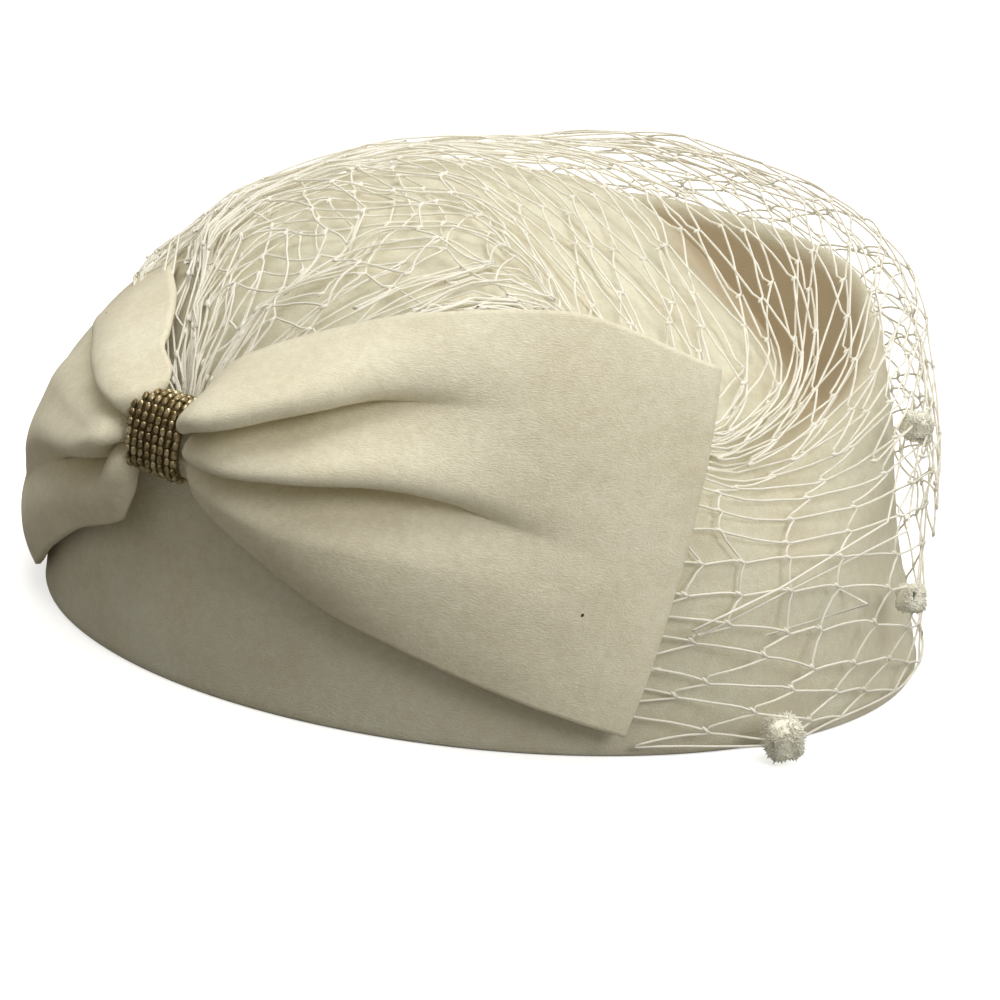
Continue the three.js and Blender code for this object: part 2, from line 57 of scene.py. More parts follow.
# %% [markdown]
# ## Helpers for shapes
# A hat is drawn by sections: a few rows say how the piece looks at a few places, and a cubic fills in
# between them. A plain spline would do that too, but it swings past a row where two rows are alike, so
# this one keeps its slope at zero there. Sheets and threads are the only two things that are made from
# the sections, so two helpers build all the faces.

# %% Tables of sections
def table(columns, rows):
    """Rows under named columns. The first column says where each row stands."""
    return dict(zip(columns.split(), np.array(rows, float).T))


def read(rows, at):
    """Every column at the places given, by a cubic that never swings past a row."""
    names = list(rows)
    x = rows[names[0]]
    at = np.clip(np.asarray(at, float), x[0], x[-1])
    i = np.clip(np.searchsorted(x, at, side="right") - 1, 0, len(x) - 2)
    step = x[i + 1] - x[i]
    t = (at - x[i]) / step
    found = {}
    for name in names:
        y = rows[name]
        slope = np.gradient(y, x) if name == names[0] else np.zeros(len(x))
        slope[1:-1] = (y[2:] - y[:-2]) / (x[2:] - x[:-2])
        slope[0], slope[-1] = (y[1] - y[0]) / (x[1] - x[0]), (y[-1] - y[-2]) / (x[-1] - x[-2])
        turning = (y[1:-1] - y[:-2]) * (y[2:] - y[1:-1]) <= 0
        slope[1:-1][turning] = 0
        found[name] = (
            (2 * t**3 - 3 * t**2 + 1) * y[i]
            + (t**3 - 2 * t**2 + t) * step * slope[i]
            + (3 * t**2 - 2 * t**3) * y[i + 1]
            + (t**3 - t**2) * step * slope[i + 1]
        )
    return found


def smooth(value, low, high):
    """0 below low, 1 above high, and an even ease between them."""
    t = np.clip((np.asarray(value, float) - low) / (high - low), 0, 1)
    return t * t * (3 - 2 * t)


def unit(vectors):
    return vectors / np.maximum(np.linalg.norm(vectors, axis=-1, keepdims=True), 1e-12)


def new_object(name, data):
    """An object in the scene for a mesh, a light or a camera."""
    thing = bpy.data.objects.new(name, data)
    bpy.context.scene.collection.objects.link(thing)
    return thing


def store(piece, name, values):
    """Keeps a number on each point of a piece, for its material to read."""
    kept = piece.data.attributes.new(name, "FLOAT", "POINT")
    kept.data.foreach_set("value", np.asarray(values, np.float32))


def heading(degrees):
    """The flat direction at that many degrees from +X."""
    angle = np.radians(degrees)
    return np.stack([np.cos(angle), np.sin(angle)], -1)


# %% Faces of sheets and threads
def grid_faces(rows, columns, start=0, around=False, flip=False):
    """Four-cornered faces between rows of points that are numbered row by row."""
    i, j = np.meshgrid(np.arange(rows - 1), np.arange(columns - (not around)), indexing="ij")
    a = start + i * columns + j
    b = start + i * columns + (j + 1) % columns
    faces = np.stack([a, b, b + columns, a + columns], -1).reshape(-1, 4)
    return (faces[:, ::-1] if flip else faces).tolist()


UNEVEN_WAY = (0.31, 0.2, 0.93)  # a direction that no thread starts along
TIP_RISE = 0.6  # how far a thread's closed end stands out, as a share of its radius


def thread(path, radius, sides=5):
    """Points and faces of a round thread along a path, closed at both ends."""
    path = np.asarray(path, float)
    count = len(path)
    radius = np.broadcast_to(radius, count)[:, None]
    ahead = unit(np.gradient(path, axis=0))
    across = np.zeros_like(path)
    last = np.cross(ahead[0], UNEVEN_WAY)
    for k in range(count):
        last = unit(last - ahead[k] * (last @ ahead[k]))
        across[k] = last
    other = np.cross(ahead, across)
    rings = [
        path + radius * (across * math.cos(a) + other * math.sin(a))
        for a in 2 * math.pi * np.arange(sides) / sides
    ]
    points = np.stack(rings, 1).reshape(-1, 3)
    rise = ahead * radius * TIP_RISE
    ends = np.stack([path[0] - rise[0], path[-1] + rise[-1]])
    faces = grid_faces(count, sides, around=True)
    first, final = count * sides, count * sides + 1
    top = (count - 1) * sides
    for j in range(sides):
        k = (j + 1) % sides
        faces.append([first, k, j])
        faces.append([final, top + j, top + k])
    return np.vstack([points, ends]), faces


def gather_bodies(bodies):
    """One list of points and faces from several bodies."""
    points, faces, start = [], [], 0
    for body_points, body_faces in bodies:
        points.append(body_points)
        faces.extend([[start + c for c in face] for face in body_faces])
        start += len(body_points)
    return np.vstack(points), faces


def make_piece(name, points, faces, node):
    """A smooth-shaded piece that rides on the hat and stands for one solid, which it hides."""
    mesh = bpy.data.meshes.new(name)
    mesh.from_pydata(np.asarray(points).tolist(), [], faces)
    mesh.polygons.foreach_set("use_smooth", np.ones(len(mesh.polygons), bool))
    mesh.update()
    piece = new_object(name, mesh)
    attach(piece, "root")
    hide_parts(node)
    sides = sum(len(face) - 2 for face in faces)
    print(f"{name}: {len(points)} points, {sides} triangles")
    return piece


# %% [markdown]
# ## The crown's ribs
# The crown is blocked felt: one cap, steamed over a block and pressed into a swirled dent. Its solid
# already has that form in 48 ribs that run from the rim to the tip. Everything else lies on the crown,
# so the ribs are read first: each one is climbed edge by edge from its corner on the rim, and a cubic
# through them gives the felt's surface at any turn and any height.

# %% Climb the solid's ribs
SAME_PLACE = 1e-6  # metres; corners that share a place to this much are one corner
ON_GROUND = 1e-5  # metres; corners this low are the rim's
RIM_EDGE = 0.995  # corners on the ground beyond this share of the rim are on its outer edge


def corners_of(node):
    """The corners of a solid, each once, and for each one the corners that an edge joins to it."""
    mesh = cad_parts[node].data
    places = np.array([v.co[:] for v in mesh.vertices])
    keys, first, same = np.unique(
        np.round(places / SAME_PLACE).astype(int), axis=0, return_index=True, return_inverse=True
    )
    same = same.reshape(-1)
    joined = [set() for _ in keys]
    for edge in mesh.edges:
        a, b = same[edge.vertices[0]], same[edge.vertices[1]]
        joined[a].add(b)
        joined[b].add(a)
    return places[first], joined


corners, joined = corners_of("crown")
tip = max(range(len(corners)), key=lambda c: (len(joined[c]), corners[c, 2]))
pole = corners[tip, :2]
crown_height = corners[tip, 2]
ground = corners[np.abs(corners[:, 2]) < ON_GROUND]
rim_middle = (ground[:, :2].max(0) + ground[:, :2].min(0)) / 2
rim_half = (ground[:, :2].max(0) - ground[:, :2].min(0)) / 2


def rim_share(points):
    """Places from the middle of the rim, as shares of its half length and half width."""
    return (points[..., :2] - rim_middle) / rim_half


def climb(start):
    """The corners from one on the rim straight up to the tip."""
    rib = [start]
    line = unit(corners[start, :2] - pole)
    while rib[-1] != tip:
        above = [c for c in joined[rib[-1]] if corners[c, 2] > ON_GROUND and c not in rib]
        if tip in above:
            rib.append(tip)
        else:
            rib.append(max(above, key=lambda c: unit(corners[c, :2] - pole) @ line))
    return rib


on_rim = [
    c for c in range(len(corners))
    if abs(corners[c, 2]) < ON_GROUND and np.linalg.norm(rim_share(corners[c])) > RIM_EDGE
]
turn_of = {c: math.degrees(math.atan2(*rim_share(corners[c])[::-1])) % 360 for c in on_rim}
on_rim.sort(key=lambda c: round(turn_of[c], 2) % 360)
ribs = np.array([corners[climb(c)] for c in on_rim])
RIBS, RINGS = ribs.shape[0], ribs.shape[1] - 1
print(f"{RIBS} ribs of {RINGS} rings; rim {2 * rim_half / MM} mm, height {crown_height / MM:.1f} mm")

# %% Read the felt's surface anywhere
def carry_on(lines):
    """Ribs with one more row below the rim and two more past the tip, down the opposite rib."""
    opposite = np.roll(lines, RIBS // 2, axis=0)
    below = 2 * lines[:, :1] - lines[:, 1:2]
    return np.concatenate([below, lines, opposite[:, -2:-4:-1]], axis=1)


def weigh(t):
    """How much each of four neighbours counts at the share t of the way between the middle two."""
    return (
        (-t + 2 * t**2 - t**3) / 2,
        (2 - 5 * t**2 + 3 * t**3) / 2,
        (t + 4 * t**2 - 3 * t**3) / 2,
        (t**3 - t**2) / 2,
    )


def on_ribs(lines, turn, along):
    """Points at any turn in degrees and any share of the way from the rim (0) to the tip (1)."""
    turn, along = np.broadcast_arrays(np.asarray(turn, float), np.asarray(along, float))
    round_place = turn / 360 * RIBS
    up_place = np.clip(along, -0.5 / RINGS, 1) * RINGS + 1
    i = np.floor(round_place).astype(int)
    k = np.clip(np.floor(up_place).astype(int), 1, lines.shape[1] - 3)
    total = 0
    for side, w in zip(range(-1, 3), weigh(round_place - i)):
        for ring, v in zip(range(-1, 3), weigh(up_place - k)):
            row = np.clip(k + ring, 0, lines.shape[1] - 1)
            total = total + (w * v)[..., None] * lines[(i + side) % RIBS, row]
    return total


felt_ribs = carry_on(ribs)


def rim_point(turn):
    return rim_middle + heading(turn) * rim_half


def place(turn, out, up):
    """The point that lies out from the rim's line, on the ray from the pole, at a height."""
    ray = rim_point(turn) - pole
    reach = np.linalg.norm(ray, axis=-1, keepdims=True)
    flat = pole + ray * (reach + np.asarray(out)[..., None]) / reach
    return np.concatenate([flat, np.asarray(up)[..., None] + 0 * flat[..., :1]], -1)


WALL_STEPS = 160
WALL_LEVELS = np.linspace(0, crown_height, 100)
LEAST_RISE = 1e-9  # metres from step to step, so that no two steps are level


def wall_line(turn):
    """How far out the felt reaches at each level, from the rim's line."""
    line = on_ribs(felt_ribs, turn, np.linspace(0, 1, WALL_STEPS))
    reach = np.linalg.norm(rim_point(turn) - pole)
    out = np.linalg.norm(line[:, :2] - pole, axis=1) - reach
    rising = np.maximum.accumulate(line[:, 2]) + np.arange(WALL_STEPS) * LEAST_RISE
    return np.interp(WALL_LEVELS, rising, out)


walls = np.array([wall_line(turn) for turn in range(360)])


def wall_out(turn, up):
    """The felt's reach at any turn and height, between the lines made above."""
    turn = np.asarray(turn, float) % 360
    level = np.clip(np.asarray(up) / crown_height, 0, 1) * (len(WALL_LEVELS) - 1)
    i, k = np.floor(turn).astype(int), np.clip(np.floor(level).astype(int), 0, len(WALL_LEVELS) - 2)
    t, v = turn - i, level - k
    low = walls[i % 360, k] * (1 - v) + walls[i % 360, k + 1] * v
    high = walls[(i + 1) % 360, k] * (1 - v) + walls[(i + 1) % 360, k + 1] * v
    return low * (1 - t) + high * t


third = len(WALL_LEVELS) // 3
print("the wall draws in by", (-walls[:, third].min() / MM).round(1), "mm at most, a third of the way up")

# %% [markdown]
# ## The felt
# Wool felt has no weave. Seen close it is a mat of short fibres that lie in drifts, a little darker
# where they part, with soft clouds of tone and now and then a dark fleck of straw. An image of felt
# would repeat and smear over the dent, so the fibres come from noise that is stretched along two
# headings and bent by a slower noise. The crown and the bow share it as one node group.

# %% Small helpers for node trees
def put(tree, kind, **settings):
    """Adds a node and sets its own settings and, by socket name, its values."""
    node = tree.nodes.new(kind)
    for key, value in settings.items():
        if hasattr(node, key):
            setattr(node, key, value)
        else:
            node.inputs[key.replace("_", " ")].default_value = value
    return node


def start_group(name, inputs, outputs):
    """A node group with named sockets: (name, kind, value) for inputs, (name, kind) for outputs."""
    tree = bpy.data.node_groups.new(name, "ShaderNodeTree")
    for label, kind, value in inputs:
        socket = tree.interface.new_socket(label, in_out="INPUT", socket_type=f"NodeSocket{kind}")
        socket.default_value = value
    for label, kind in outputs:
        tree.interface.new_socket(label, in_out="OUTPUT", socket_type=f"NodeSocket{kind}")
    return tree, put(tree, "NodeGroupInput"), put(tree, "NodeGroupOutput")


def feed(tree, value, socket):
    """Gives a socket what another socket sends, or a plain value."""
    if hasattr(value, "links"):
        tree.links.new(value, socket)
    else:
        socket.default_value = value


def maths(tree, operation, *terms):
    """A math node fed by sockets or plain numbers."""
    node = put(tree, "ShaderNodeMath", operation=operation)
    for socket, value in zip(node.inputs, terms):
        feed(tree, value, socket)
    return node.outputs[0]


def blend(tree, share, a, b):
    """Mixes two colours by a share; each may be a socket or a colour."""
    node = put(tree, "ShaderNodeMix", data_type="RGBA")
    for number, value in ((0, share), (6, a), (7, b)):
        feed(tree, value, node.inputs[number])
    return node.outputs[2]


def spread(tree, value, low, high):
    """0 where the value is at low or under it, 1 from high on."""
    node = put(tree, "ShaderNodeMapRange", clamp=True, From_Min=low, From_Max=high)
    tree.links.new(value, node.inputs["Value"])
    return node.outputs["Result"]


def in_millimetres(tree):
    """The piece's own coordinates, in millimetres."""
    node = put(tree, "ShaderNodeVectorMath", operation="SCALE", Scale=1 / MM)
    tree.links.new(put(tree, "ShaderNodeTexCoord").outputs["Object"], node.inputs[0])
    return node.outputs[0]


def colour(red, green, blue):
    """A colour as it looks, 0 to 255, turned into the light that Blender counts in."""
    shares = [c / 255 for c in (red, green, blue)]
    return tuple(s / 12.92 if s <= 0.04045 else ((s + 0.055) / 1.055) ** 2.4 for s in shares) + (1,)


# %% The felt's fibres as a node group
# Noise scales count how often the noise changes in one millimetre.
FIBRE_BEND = 2.2  # mm by which the slow noise bends the fibres
FLECK_SPACING = 0.075
FLECK_SIZE = 0.028
FLECK_CHANCE = 0.28  # how many of the places for a fleck have one
# painted shade: the colour that the felt darkens to deep in the dent
PAINTED_SHADE_COLOUR = (190, 174, 144)
FLECK_COLOUR = (74, 62, 44)


def noise_at(tree, where, scale, detail=2.0, rough=0.5):
    node = put(tree, "ShaderNodeTexNoise", Scale=scale, Detail=detail, Roughness=rough)
    tree.links.new(where, node.inputs["Vector"])
    return node.outputs


def strokes(tree, where, angles, stretch):
    """Noise drawn out into strokes along one heading."""
    angles = [math.radians(a) for a in angles]
    turned = put(tree, "ShaderNodeMapping", Rotation=angles, Scale=stretch)
    tree.links.new(where, turned.inputs["Vector"])
    return noise_at(tree, turned.outputs[0], 1.0, detail=3.0, rough=0.6)["Fac"]


def felt_nap_group():
    tree, given, made = start_group(
        "felt_nap",
        [("Pale", "Color", (1, 1, 1, 1)), ("Shade", "Color", (0.5, 0.5, 0.5, 1)),
         ("Nap", "Float", 0.5), ("Clouds", "Float", 0.5), ("Flecks", "Float", 0.5),
         ("PaintedShade", "Float", 0)],
        [("Color", "Color"), ("Roughness", "Float"), ("Height", "Float")],
    )
    link, given = tree.links.new, given.outputs
    own = in_millimetres(tree)
    slow = noise_at(tree, own, 0.22, detail=1.0)["Color"]
    bend = put(tree, "ShaderNodeVectorMath", operation="MULTIPLY_ADD")
    for number, value in enumerate((slow, (FIBRE_BEND,) * 3, own)):
        feed(tree, value, bend.inputs[number])
    bent = bend.outputs[0]
    flat = strokes(tree, bent, (12, 20, 25), (0.8, 3.4, 3.4))
    steep = strokes(tree, bent, (-15, 35, -50), (0.9, 3.6, 3.6))
    drift = spread(tree, noise_at(tree, own, 0.5)["Fac"], 0.42, 0.58)
    fibre = put(tree, "ShaderNodeMix", data_type="FLOAT")
    for number, value in ((0, drift), (2, flat), (3, steep)):
        link(value, fibre.inputs[number])
    lie = spread(tree, fibre.outputs[0], 0.36, 0.64)
    clouds = spread(tree, noise_at(tree, own, 0.055, detail=3.0)["Fac"], 0.35, 0.65)
    dark = maths(tree, "MULTIPLY", maths(tree, "SUBTRACT", 1.0, lie), given["Nap"])
    blots = maths(tree, "ADD", clouds, maths(tree, "MULTIPLY", drift, 0.6))
    share = maths(tree, "ADD", dark, maths(tree, "MULTIPLY", blots, given["Clouds"]))
    body = blend(tree, share, given["Pale"], given["Shade"])
    # Painted shade: the felt turns darker where it lies deep in the dent.
    body = blend(tree, given["PaintedShade"], body, colour(*PAINTED_SHADE_COLOUR))
    cells = put(tree, "ShaderNodeTexVoronoi", Scale=FLECK_SPACING)
    link(bent, cells.inputs["Vector"])
    near = maths(tree, "LESS_THAN", cells.outputs["Distance"], FLECK_SIZE)
    draw = put(tree, "ShaderNodeSeparateColor")
    link(cells.outputs["Color"], draw.inputs[0])
    rare = maths(tree, "GREATER_THAN", draw.outputs[0], 1 - FLECK_CHANCE)
    fleck = maths(tree, "MULTIPLY", maths(tree, "MULTIPLY", near, rare), given["Flecks"])
    link(blend(tree, fleck, body, colour(*FLECK_COLOUR)), made.inputs["Color"])
    link(maths(tree, "MULTIPLY_ADD", lie, -0.08, 0.98), made.inputs["Roughness"])
    link(maths(tree, "ADD", lie, maths(tree, "MULTIPLY", clouds, 0.4)), made.inputs["Height"])
    return tree


felt_nap = felt_nap_group()
print("felt_nap has", len(felt_nap.nodes), "nodes")

# %% Materials that use a group
def start_material(name, **constants):
    """A material whose shader has these plain values on its own sockets."""
    material = bpy.data.materials.new(name)
    material.use_nodes = True
    shader = material.node_tree.nodes["Principled BSDF"]
    for key, value in constants.items():
        shader.inputs[key.replace("_", " ")].default_value = value
    return material, material.node_tree, shader


def bump(tree, shader, height, depth, strength):
    """Relief of that depth in metres, from a height between 0 and 1."""
    node = put(tree, "ShaderNodeBump", Strength=strength, Distance=depth)
    tree.links.new(height, node.inputs["Height"])
    tree.links.new(node.outputs["Normal"], shader.inputs["Normal"])


def grouped_material(name, group, values, relief, stored=None, **constants):
    """A material whose colour comes from a group with these values, and whose relief is (depth, strength).

    stored is (name, input) where the group reads a value that is kept on the mesh."""
    material, tree, shader = start_material(name, **constants)
    node = put(tree, "ShaderNodeGroup", node_tree=group, **values)
    kept = None
    if stored:
        kept = put(tree, "ShaderNodeAttribute", attribute_name=stored[0]).outputs["Fac"]
        tree.links.new(kept, node.inputs[stored[1]])
    tree.links.new(node.outputs["Color"], shader.inputs["Base Color"])
    if "Roughness" in node.outputs:
        tree.links.new(node.outputs["Roughness"], shader.inputs["Roughness"])
    bump(tree, shader, node.outputs["Height"], *relief)
    return material, kept


def felt_material(name, stored=None, **values):
    return grouped_material(
        name, felt_nap, values, (0.12 * MM, 0.5), stored,
        Specular_IOR_Level=0.15, Sheen_Weight=0.35, Sheen_Roughness=0.45,
        Sheen_Tint=colour(255, 246, 226),
    )[0]


crown_felt = felt_material(
    "crown_felt", stored=("painted_dent_shade", "PaintedShade"), Nap=0.4, Clouds=0.3, Flecks=0.8,
    Pale=colour(233, 232, 212), Shade=colour(214, 202, 174),
)
bow_felt = felt_material(
    "bow_felt", Nap=0.45, Clouds=0.3, Flecks=1.0,
    Pale=colour(252, 246, 222), Shade=colour(226, 216, 186),
)
print("felts made")

# %% [markdown]
# ## The crown
# The real crown is a single felt wall, 2.4 mm thick, open below, with a soft rounded rim. A solid dome
# would hide nothing from the camera above, but the hat can be turned over, so it is a true shell: an
# outer skin from the ribs, an inner skin one felt's thickness inside it, and a rounded edge that joins
# them. Slow noise moves the skins together by fractions of a millimetre, as hand blocking does.
# Ribs whose hollows are spanned by straight lines serve twice: the depth under them says where shade is
# painted into the dent's felt, and the net lies on them further down.

# %% Lay the crown's two skins
CROWN_FELT = 2.4 * MM
CROWN_SIDES = 240
CROWN_RINGS = 110
RIM_ROUND = 0.9 * MM
CROWN_WAVER = 0.35 * MM
BROAD_LUMPS, SMALL_LUMPS = 26 * MM, 8 * MM  # how wide the hand-blocked lumps are
SMALL_SHARE = 0.35
RINGS_BUNCH = 0.95  # below 1 the skin's rings stand closer together at the tip
LIP_STEPS = 5  # rows round the rim's edge
PAINTED_SHADE_DEPTHS = (0.5 * MM, 5 * MM)  # the depths at which the painted shade in the dent begins and is full


def waver(points, size, seed=0.0):
    """Slow seeded noise, from -1 to 1, that changes over that distance."""
    shift = Vector((seed, seed * 1.7, seed * 2.3))
    return np.array([noise.noise(Vector(p) / size + shift) for p in points.reshape(-1, 3)]).reshape(
        points.shape[:-1]
    )


def skin_normals(points, around):
    """Outward normals of a grid of points; around says that its rows close on themselves."""
    up = np.gradient(points, axis=0)
    if around:
        along = np.roll(points, -1, axis=1) - np.roll(points, 1, axis=1)
    else:
        along = np.gradient(points, axis=1)
    return unit(np.cross(along, up))


BRIDGED_FROM = 6  # the ring above which hollows are spanned


def bridge(rib):
    """A rib whose hollows above the wall are spanned by straight lines."""
    reach = np.linalg.norm(rib[:, :2] - pole, axis=1)
    kept = []
    for k in range(BRIDGED_FROM, len(rib)):
        while len(kept) > 1:
            a, b = kept[-2], kept[-1]
            lean = (reach[a] - reach[b]) * (rib[k, 2] - rib[a, 2])
            if lean < (reach[a] - reach[k]) * (rib[b, 2] - rib[a, 2]):
                break
            kept.pop()
        kept.append(k)
    spanned = rib.copy()
    spanned[BRIDGED_FROM:, 2] = np.interp(-reach[BRIDGED_FROM:], -reach[kept], rib[kept, 2])
    return spanned


spanned_ribs = carry_on(np.array([bridge(rib) for rib in ribs]))


def make_crown():
    turns = np.arange(CROWN_SIDES) * 360 / CROWN_SIDES
    along = (np.arange(CROWN_RINGS) / CROWN_RINGS) ** RINGS_BUNCH
    outer = on_ribs(felt_ribs, turns[None, :], along[:, None])
    deep = (on_ribs(spanned_ribs, turns[None, :], along[:, None]) - outer)[..., 2]
    normals = skin_normals(outer, around=True)
    normals[0, :, 2] = 0
    normals[0] = unit(normals[0])
    hand = waver(outer, BROAD_LUMPS) + SMALL_SHARE * waver(outer, SMALL_LUMPS, 5)
    outer = outer + normals * (hand * CROWN_WAVER * smooth(along, 0, 0.05)[:, None])[..., None]
    inner = outer - normals * CROWN_FELT
    outer[0, :, 2] = inner[0, :, 2] = RIM_ROUND
    edge_turns = np.linspace(0, math.pi, LIP_STEPS + 2)[1:-1]
    middle = (outer[0] + inner[0]) / 2
    half = (outer[0] - inner[0]) / 2
    lip = [middle + half * math.cos(a) - [0, 0, RIM_ROUND * math.sin(a)] for a in edge_turns]
    tips = np.array([[*pole, outer[-1, :, 2].max()], [*pole, inner[-1, :, 2].max()]])
    rows = np.concatenate([inner[::-1], np.array(lip)[::-1], outer]).reshape(-1, 3)
    count = len(rows) // CROWN_SIDES
    faces = grid_faces(count, CROWN_SIDES, around=True)
    outer_tip, inner_tip = len(rows), len(rows) + 1
    last = (count - 1) * CROWN_SIDES
    for j in range(CROWN_SIDES):
        k = (j + 1) % CROWN_SIDES
        faces.append([last + j, last + k, outer_tip])
        faces.append([k, j, inner_tip])
    crown = make_piece("felt_crown", np.vstack([rows, tips]), faces, "crown")
    crown.data.materials.append(crown_felt)
    # Painted shade: the deeper the dent lies under the spanned ribs, the darker its felt is painted.
    shade = smooth(deep, *PAINTED_SHADE_DEPTHS)
    shade = np.concatenate([shade[::-1], np.zeros((len(lip), CROWN_SIDES)), shade]).ravel()
    store(crown, "painted_dent_shade", np.append(shade, [0, 0]))
    return crown


crown = make_crown()

# %% [markdown]
# ## The bow
# The bow is one strip of thin felt, drawn through a band at its middle so that it pleats, with a cut
# end at each side. Cloth simulation could pinch a flat strip, but felt this stiff keeps the folds that
# a hand gives it, and a simulation would move them. The strip is therefore drawn section by section:
# where it stands round the hat, how high it reaches, how far it swells, and where its two valleys run.
# A valley is tucked under the fold above it, as a pressed pleat is.

# %% The bow's sections
# The turns are in degrees round the rim, at the top edge, halfway and at the bottom edge, because the
# strip fans out from the band. Top and bottom are shares of the crown's height. The offs, the bulge
# and the puffs are shares of the standoff, the pleats of their depth.
BOW = table(
    "share turn_top turn_mid turn_low top bottom top_off bottom_off bulge"
    " upper_at upper_pleat lower_at lower_pleat upper_puff lower_puff",
    [
        [-1.00, -206, -208, -210, 0.660, 0.100, -2.3, 0.15, 0.9, 0.30, 0.00, 0.70, 0.00, 0.00, 0.00],
        [-0.75, -189, -190, -188, 0.740, 0.050, -2.5, 0.20, 1.3, 0.27, 0.05, 0.72, 0.05, 0.00, 0.00],
        [-0.50, -169, -172, -167, 0.780, 0.060, -2.5, 0.20, 1.25, 0.26, 0.10, 0.75, 0.10, 0.05, 0.00],
        [-0.40, -159, -164, -157, 0.785, 0.165, -2.2, 0.20, 1.25, 0.28, 0.35, 0.76, 0.20, 0.10, 0.05],
        [-0.28, -149, -155, -147, 0.762, 0.265, -1.8, 0.25, 1.1, 0.31, 0.70, 0.76, 0.50, 0.25, 0.15],
        [-0.15, -140, -143, -136, 0.710, 0.350, -0.9, 0.35, 0.95, 0.33, 0.95, 0.74, 0.85, 0.35, 0.20],
        [-0.09, -135, -138, -132, 0.670, 0.425, -0.1, 0.30, 0.6, 0.33, 0.75, 0.68, 0.75, 0.25, 0.20],
        [-0.05, -135, -135, -131, 0.620, 0.480, 0.20, 0.20, 0.15, 0.34, 0.25, 0.66, 0.25, 0.00, 0.00],
        [0.05, -128, -127, -127, 0.620, 0.480, 0.20, 0.20, 0.15, 0.34, 0.25, 0.66, 0.25, 0.00, 0.00],
        [0.09, -127, -124, -125, 0.680, 0.435, 0.10, 0.30, 0.6, 0.36, 1.00, 0.60, 0.95, 0.70, 0.30],
        [0.15, -122, -119, -120, 0.750, 0.390, -0.3, 0.25, 1.2, 0.36, 1.20, 0.60, 1.20, 1.10, 0.45],
        [0.30, -113, -112, -111, 0.820, 0.310, -1.0, 0.30, 1.35, 0.32, 1.10, 0.575, 1.30, 1.00, 0.50],
        [0.50, -101, -101, -101, 0.885, 0.245, -1.2, 0.50, 0.9, 0.27, 0.30, 0.56, 0.80, 0.30, 0.30],
        [0.75, -82, -85, -88, 0.925, 0.160, -1.2, 0.50, 0.6, 0.25, 0.00, 0.57, 0.10, 0.00, 0.00],
        [1.00, -61, -67, -73, 0.825, 0.070, -1.0, 0.45, 0.3, 0.25, 0.00, 0.57, 0.00, 0.00, 0.00],
    ],
)
BOW_FELT = 1.7 * MM
BOW_STANDOFF = 10 * MM
PLEAT_DEPTH = 12 * MM
PLEAT_TUCK = (6.5 * MM, 2.2 * MM)  # how far a valley lies up under the fold above it, tail and wing
PLEAT_ABOVE = 0.09  # a valley's width above and below its bottom, as shares of the bow's height
PLEAT_BELOW = 0.15
VALLEY_ROUND = 0.1  # how round a valley's bottom is
PINCH_LENGTH = 125 * MM
PINCH_HELD = 0.06  # the share of the strip that the band holds straight
PINCH_EASE = 0.17  # and the share by which it runs free round the hat
KNOT_TURN = -130.5  # degrees round the rim at which the band sits
KNOT_FACING = -115  # the heading that its face has
KNOT_LEAN = 4.5  # degrees
KNOT_SHIFT = (-2.0 * MM, 2.0 * MM)  # along the strip and upward, from the solid's middle
BOW_SQUARENESS = 2.6
UPPER_PUFF = (0.15, 0.12)  # how far above its valley a fold puffs out most, and how widely
LOWER_PUFF = (0.12, 0.09)
WING_FLARE = (12 * MM, 5 * MM)  # how far the wing's top and bottom edges start behind the band
FLARE_AT = (-0.105, 0.045)  # the place of that along the strip, and its width
WING_ROOM = 0.9 * MM  # between the left wing's felt and the crown
TAIL_ROOM = 2.9 * MM  # the right tail leaves room for the net under it
print("the bow has", len(BOW["share"]), "sections")

# %% Where the strip runs
knot_out = np.append(heading(KNOT_FACING), 0)
knot_along = np.array([-knot_out[1], knot_out[0], 0])


def valley(across, at):
    """1 at the bottom of a pleat, easing to 0 at its sides."""
    apart = across - at
    wide = np.where(apart < 0, PLEAT_ABOVE, PLEAT_BELOW)
    rounded = np.sqrt((apart / wide) ** 2 + VALLEY_ROUND**2) - VALLEY_ROUND
    return np.clip(1 - rounded, 0, 1) ** 2


def hump(across, middle, wide):
    return np.exp(-(((across - middle) / wide) ** 2))


def bow_middle(share, across):
    """The middle of the strip's felt."""
    row = read(BOW, share)
    bend = row["turn_mid"] - (row["turn_top"] + row["turn_low"]) / 2
    turn = row["turn_top"] + (row["turn_low"] - row["turn_top"]) * across
    turn = turn + bend * 4 * across * (1 - across)
    up = (row["top"] + (row["bottom"] - row["top"]) * across) * crown_height
    rise = 1 - np.abs(2 * across - 1) ** BOW_SQUARENESS
    off = row["top_off"] + (row["bottom_off"] - row["top_off"]) * across + row["bulge"] * rise
    upper = valley(across, row["upper_at"]) * row["upper_pleat"]
    lower = valley(across, row["lower_at"]) * row["lower_pleat"]
    over = hump(across, row["upper_at"] - UPPER_PUFF[0], UPPER_PUFF[1]) * row["upper_puff"]
    under = hump(across, row["lower_at"] - LOWER_PUFF[0], LOWER_PUFF[1]) * row["lower_puff"]
    out = (off + over + under) * BOW_STANDOFF - (upper + lower) * PLEAT_DEPTH
    up = up + (upper + lower) * np.where(share > 0, *PLEAT_TUCK)
    room = np.where(share > 0.1, TAIL_ROOM, WING_ROOM)
    out = np.maximum(out, wall_out(turn, up) + room + BOW_FELT / 2)
    free = place(turn, out, up)
    held = 1 - smooth(np.abs(share), PINCH_HELD, PINCH_EASE)[..., None]
    start = np.append(rim_point(KNOT_TURN), 0) + knot_along * KNOT_SHIFT[0]
    flare = WING_FLARE[0] * smooth(-across, -0.35, 0) + WING_FLARE[1] * smooth(across, 0.7, 1)
    run = share * PINCH_LENGTH + flare * hump(share, *FLARE_AT)
    in_band = start + knot_along * run[..., None] + knot_out * out[..., None]
    in_band[..., 2] = up
    return free + (in_band - free) * held


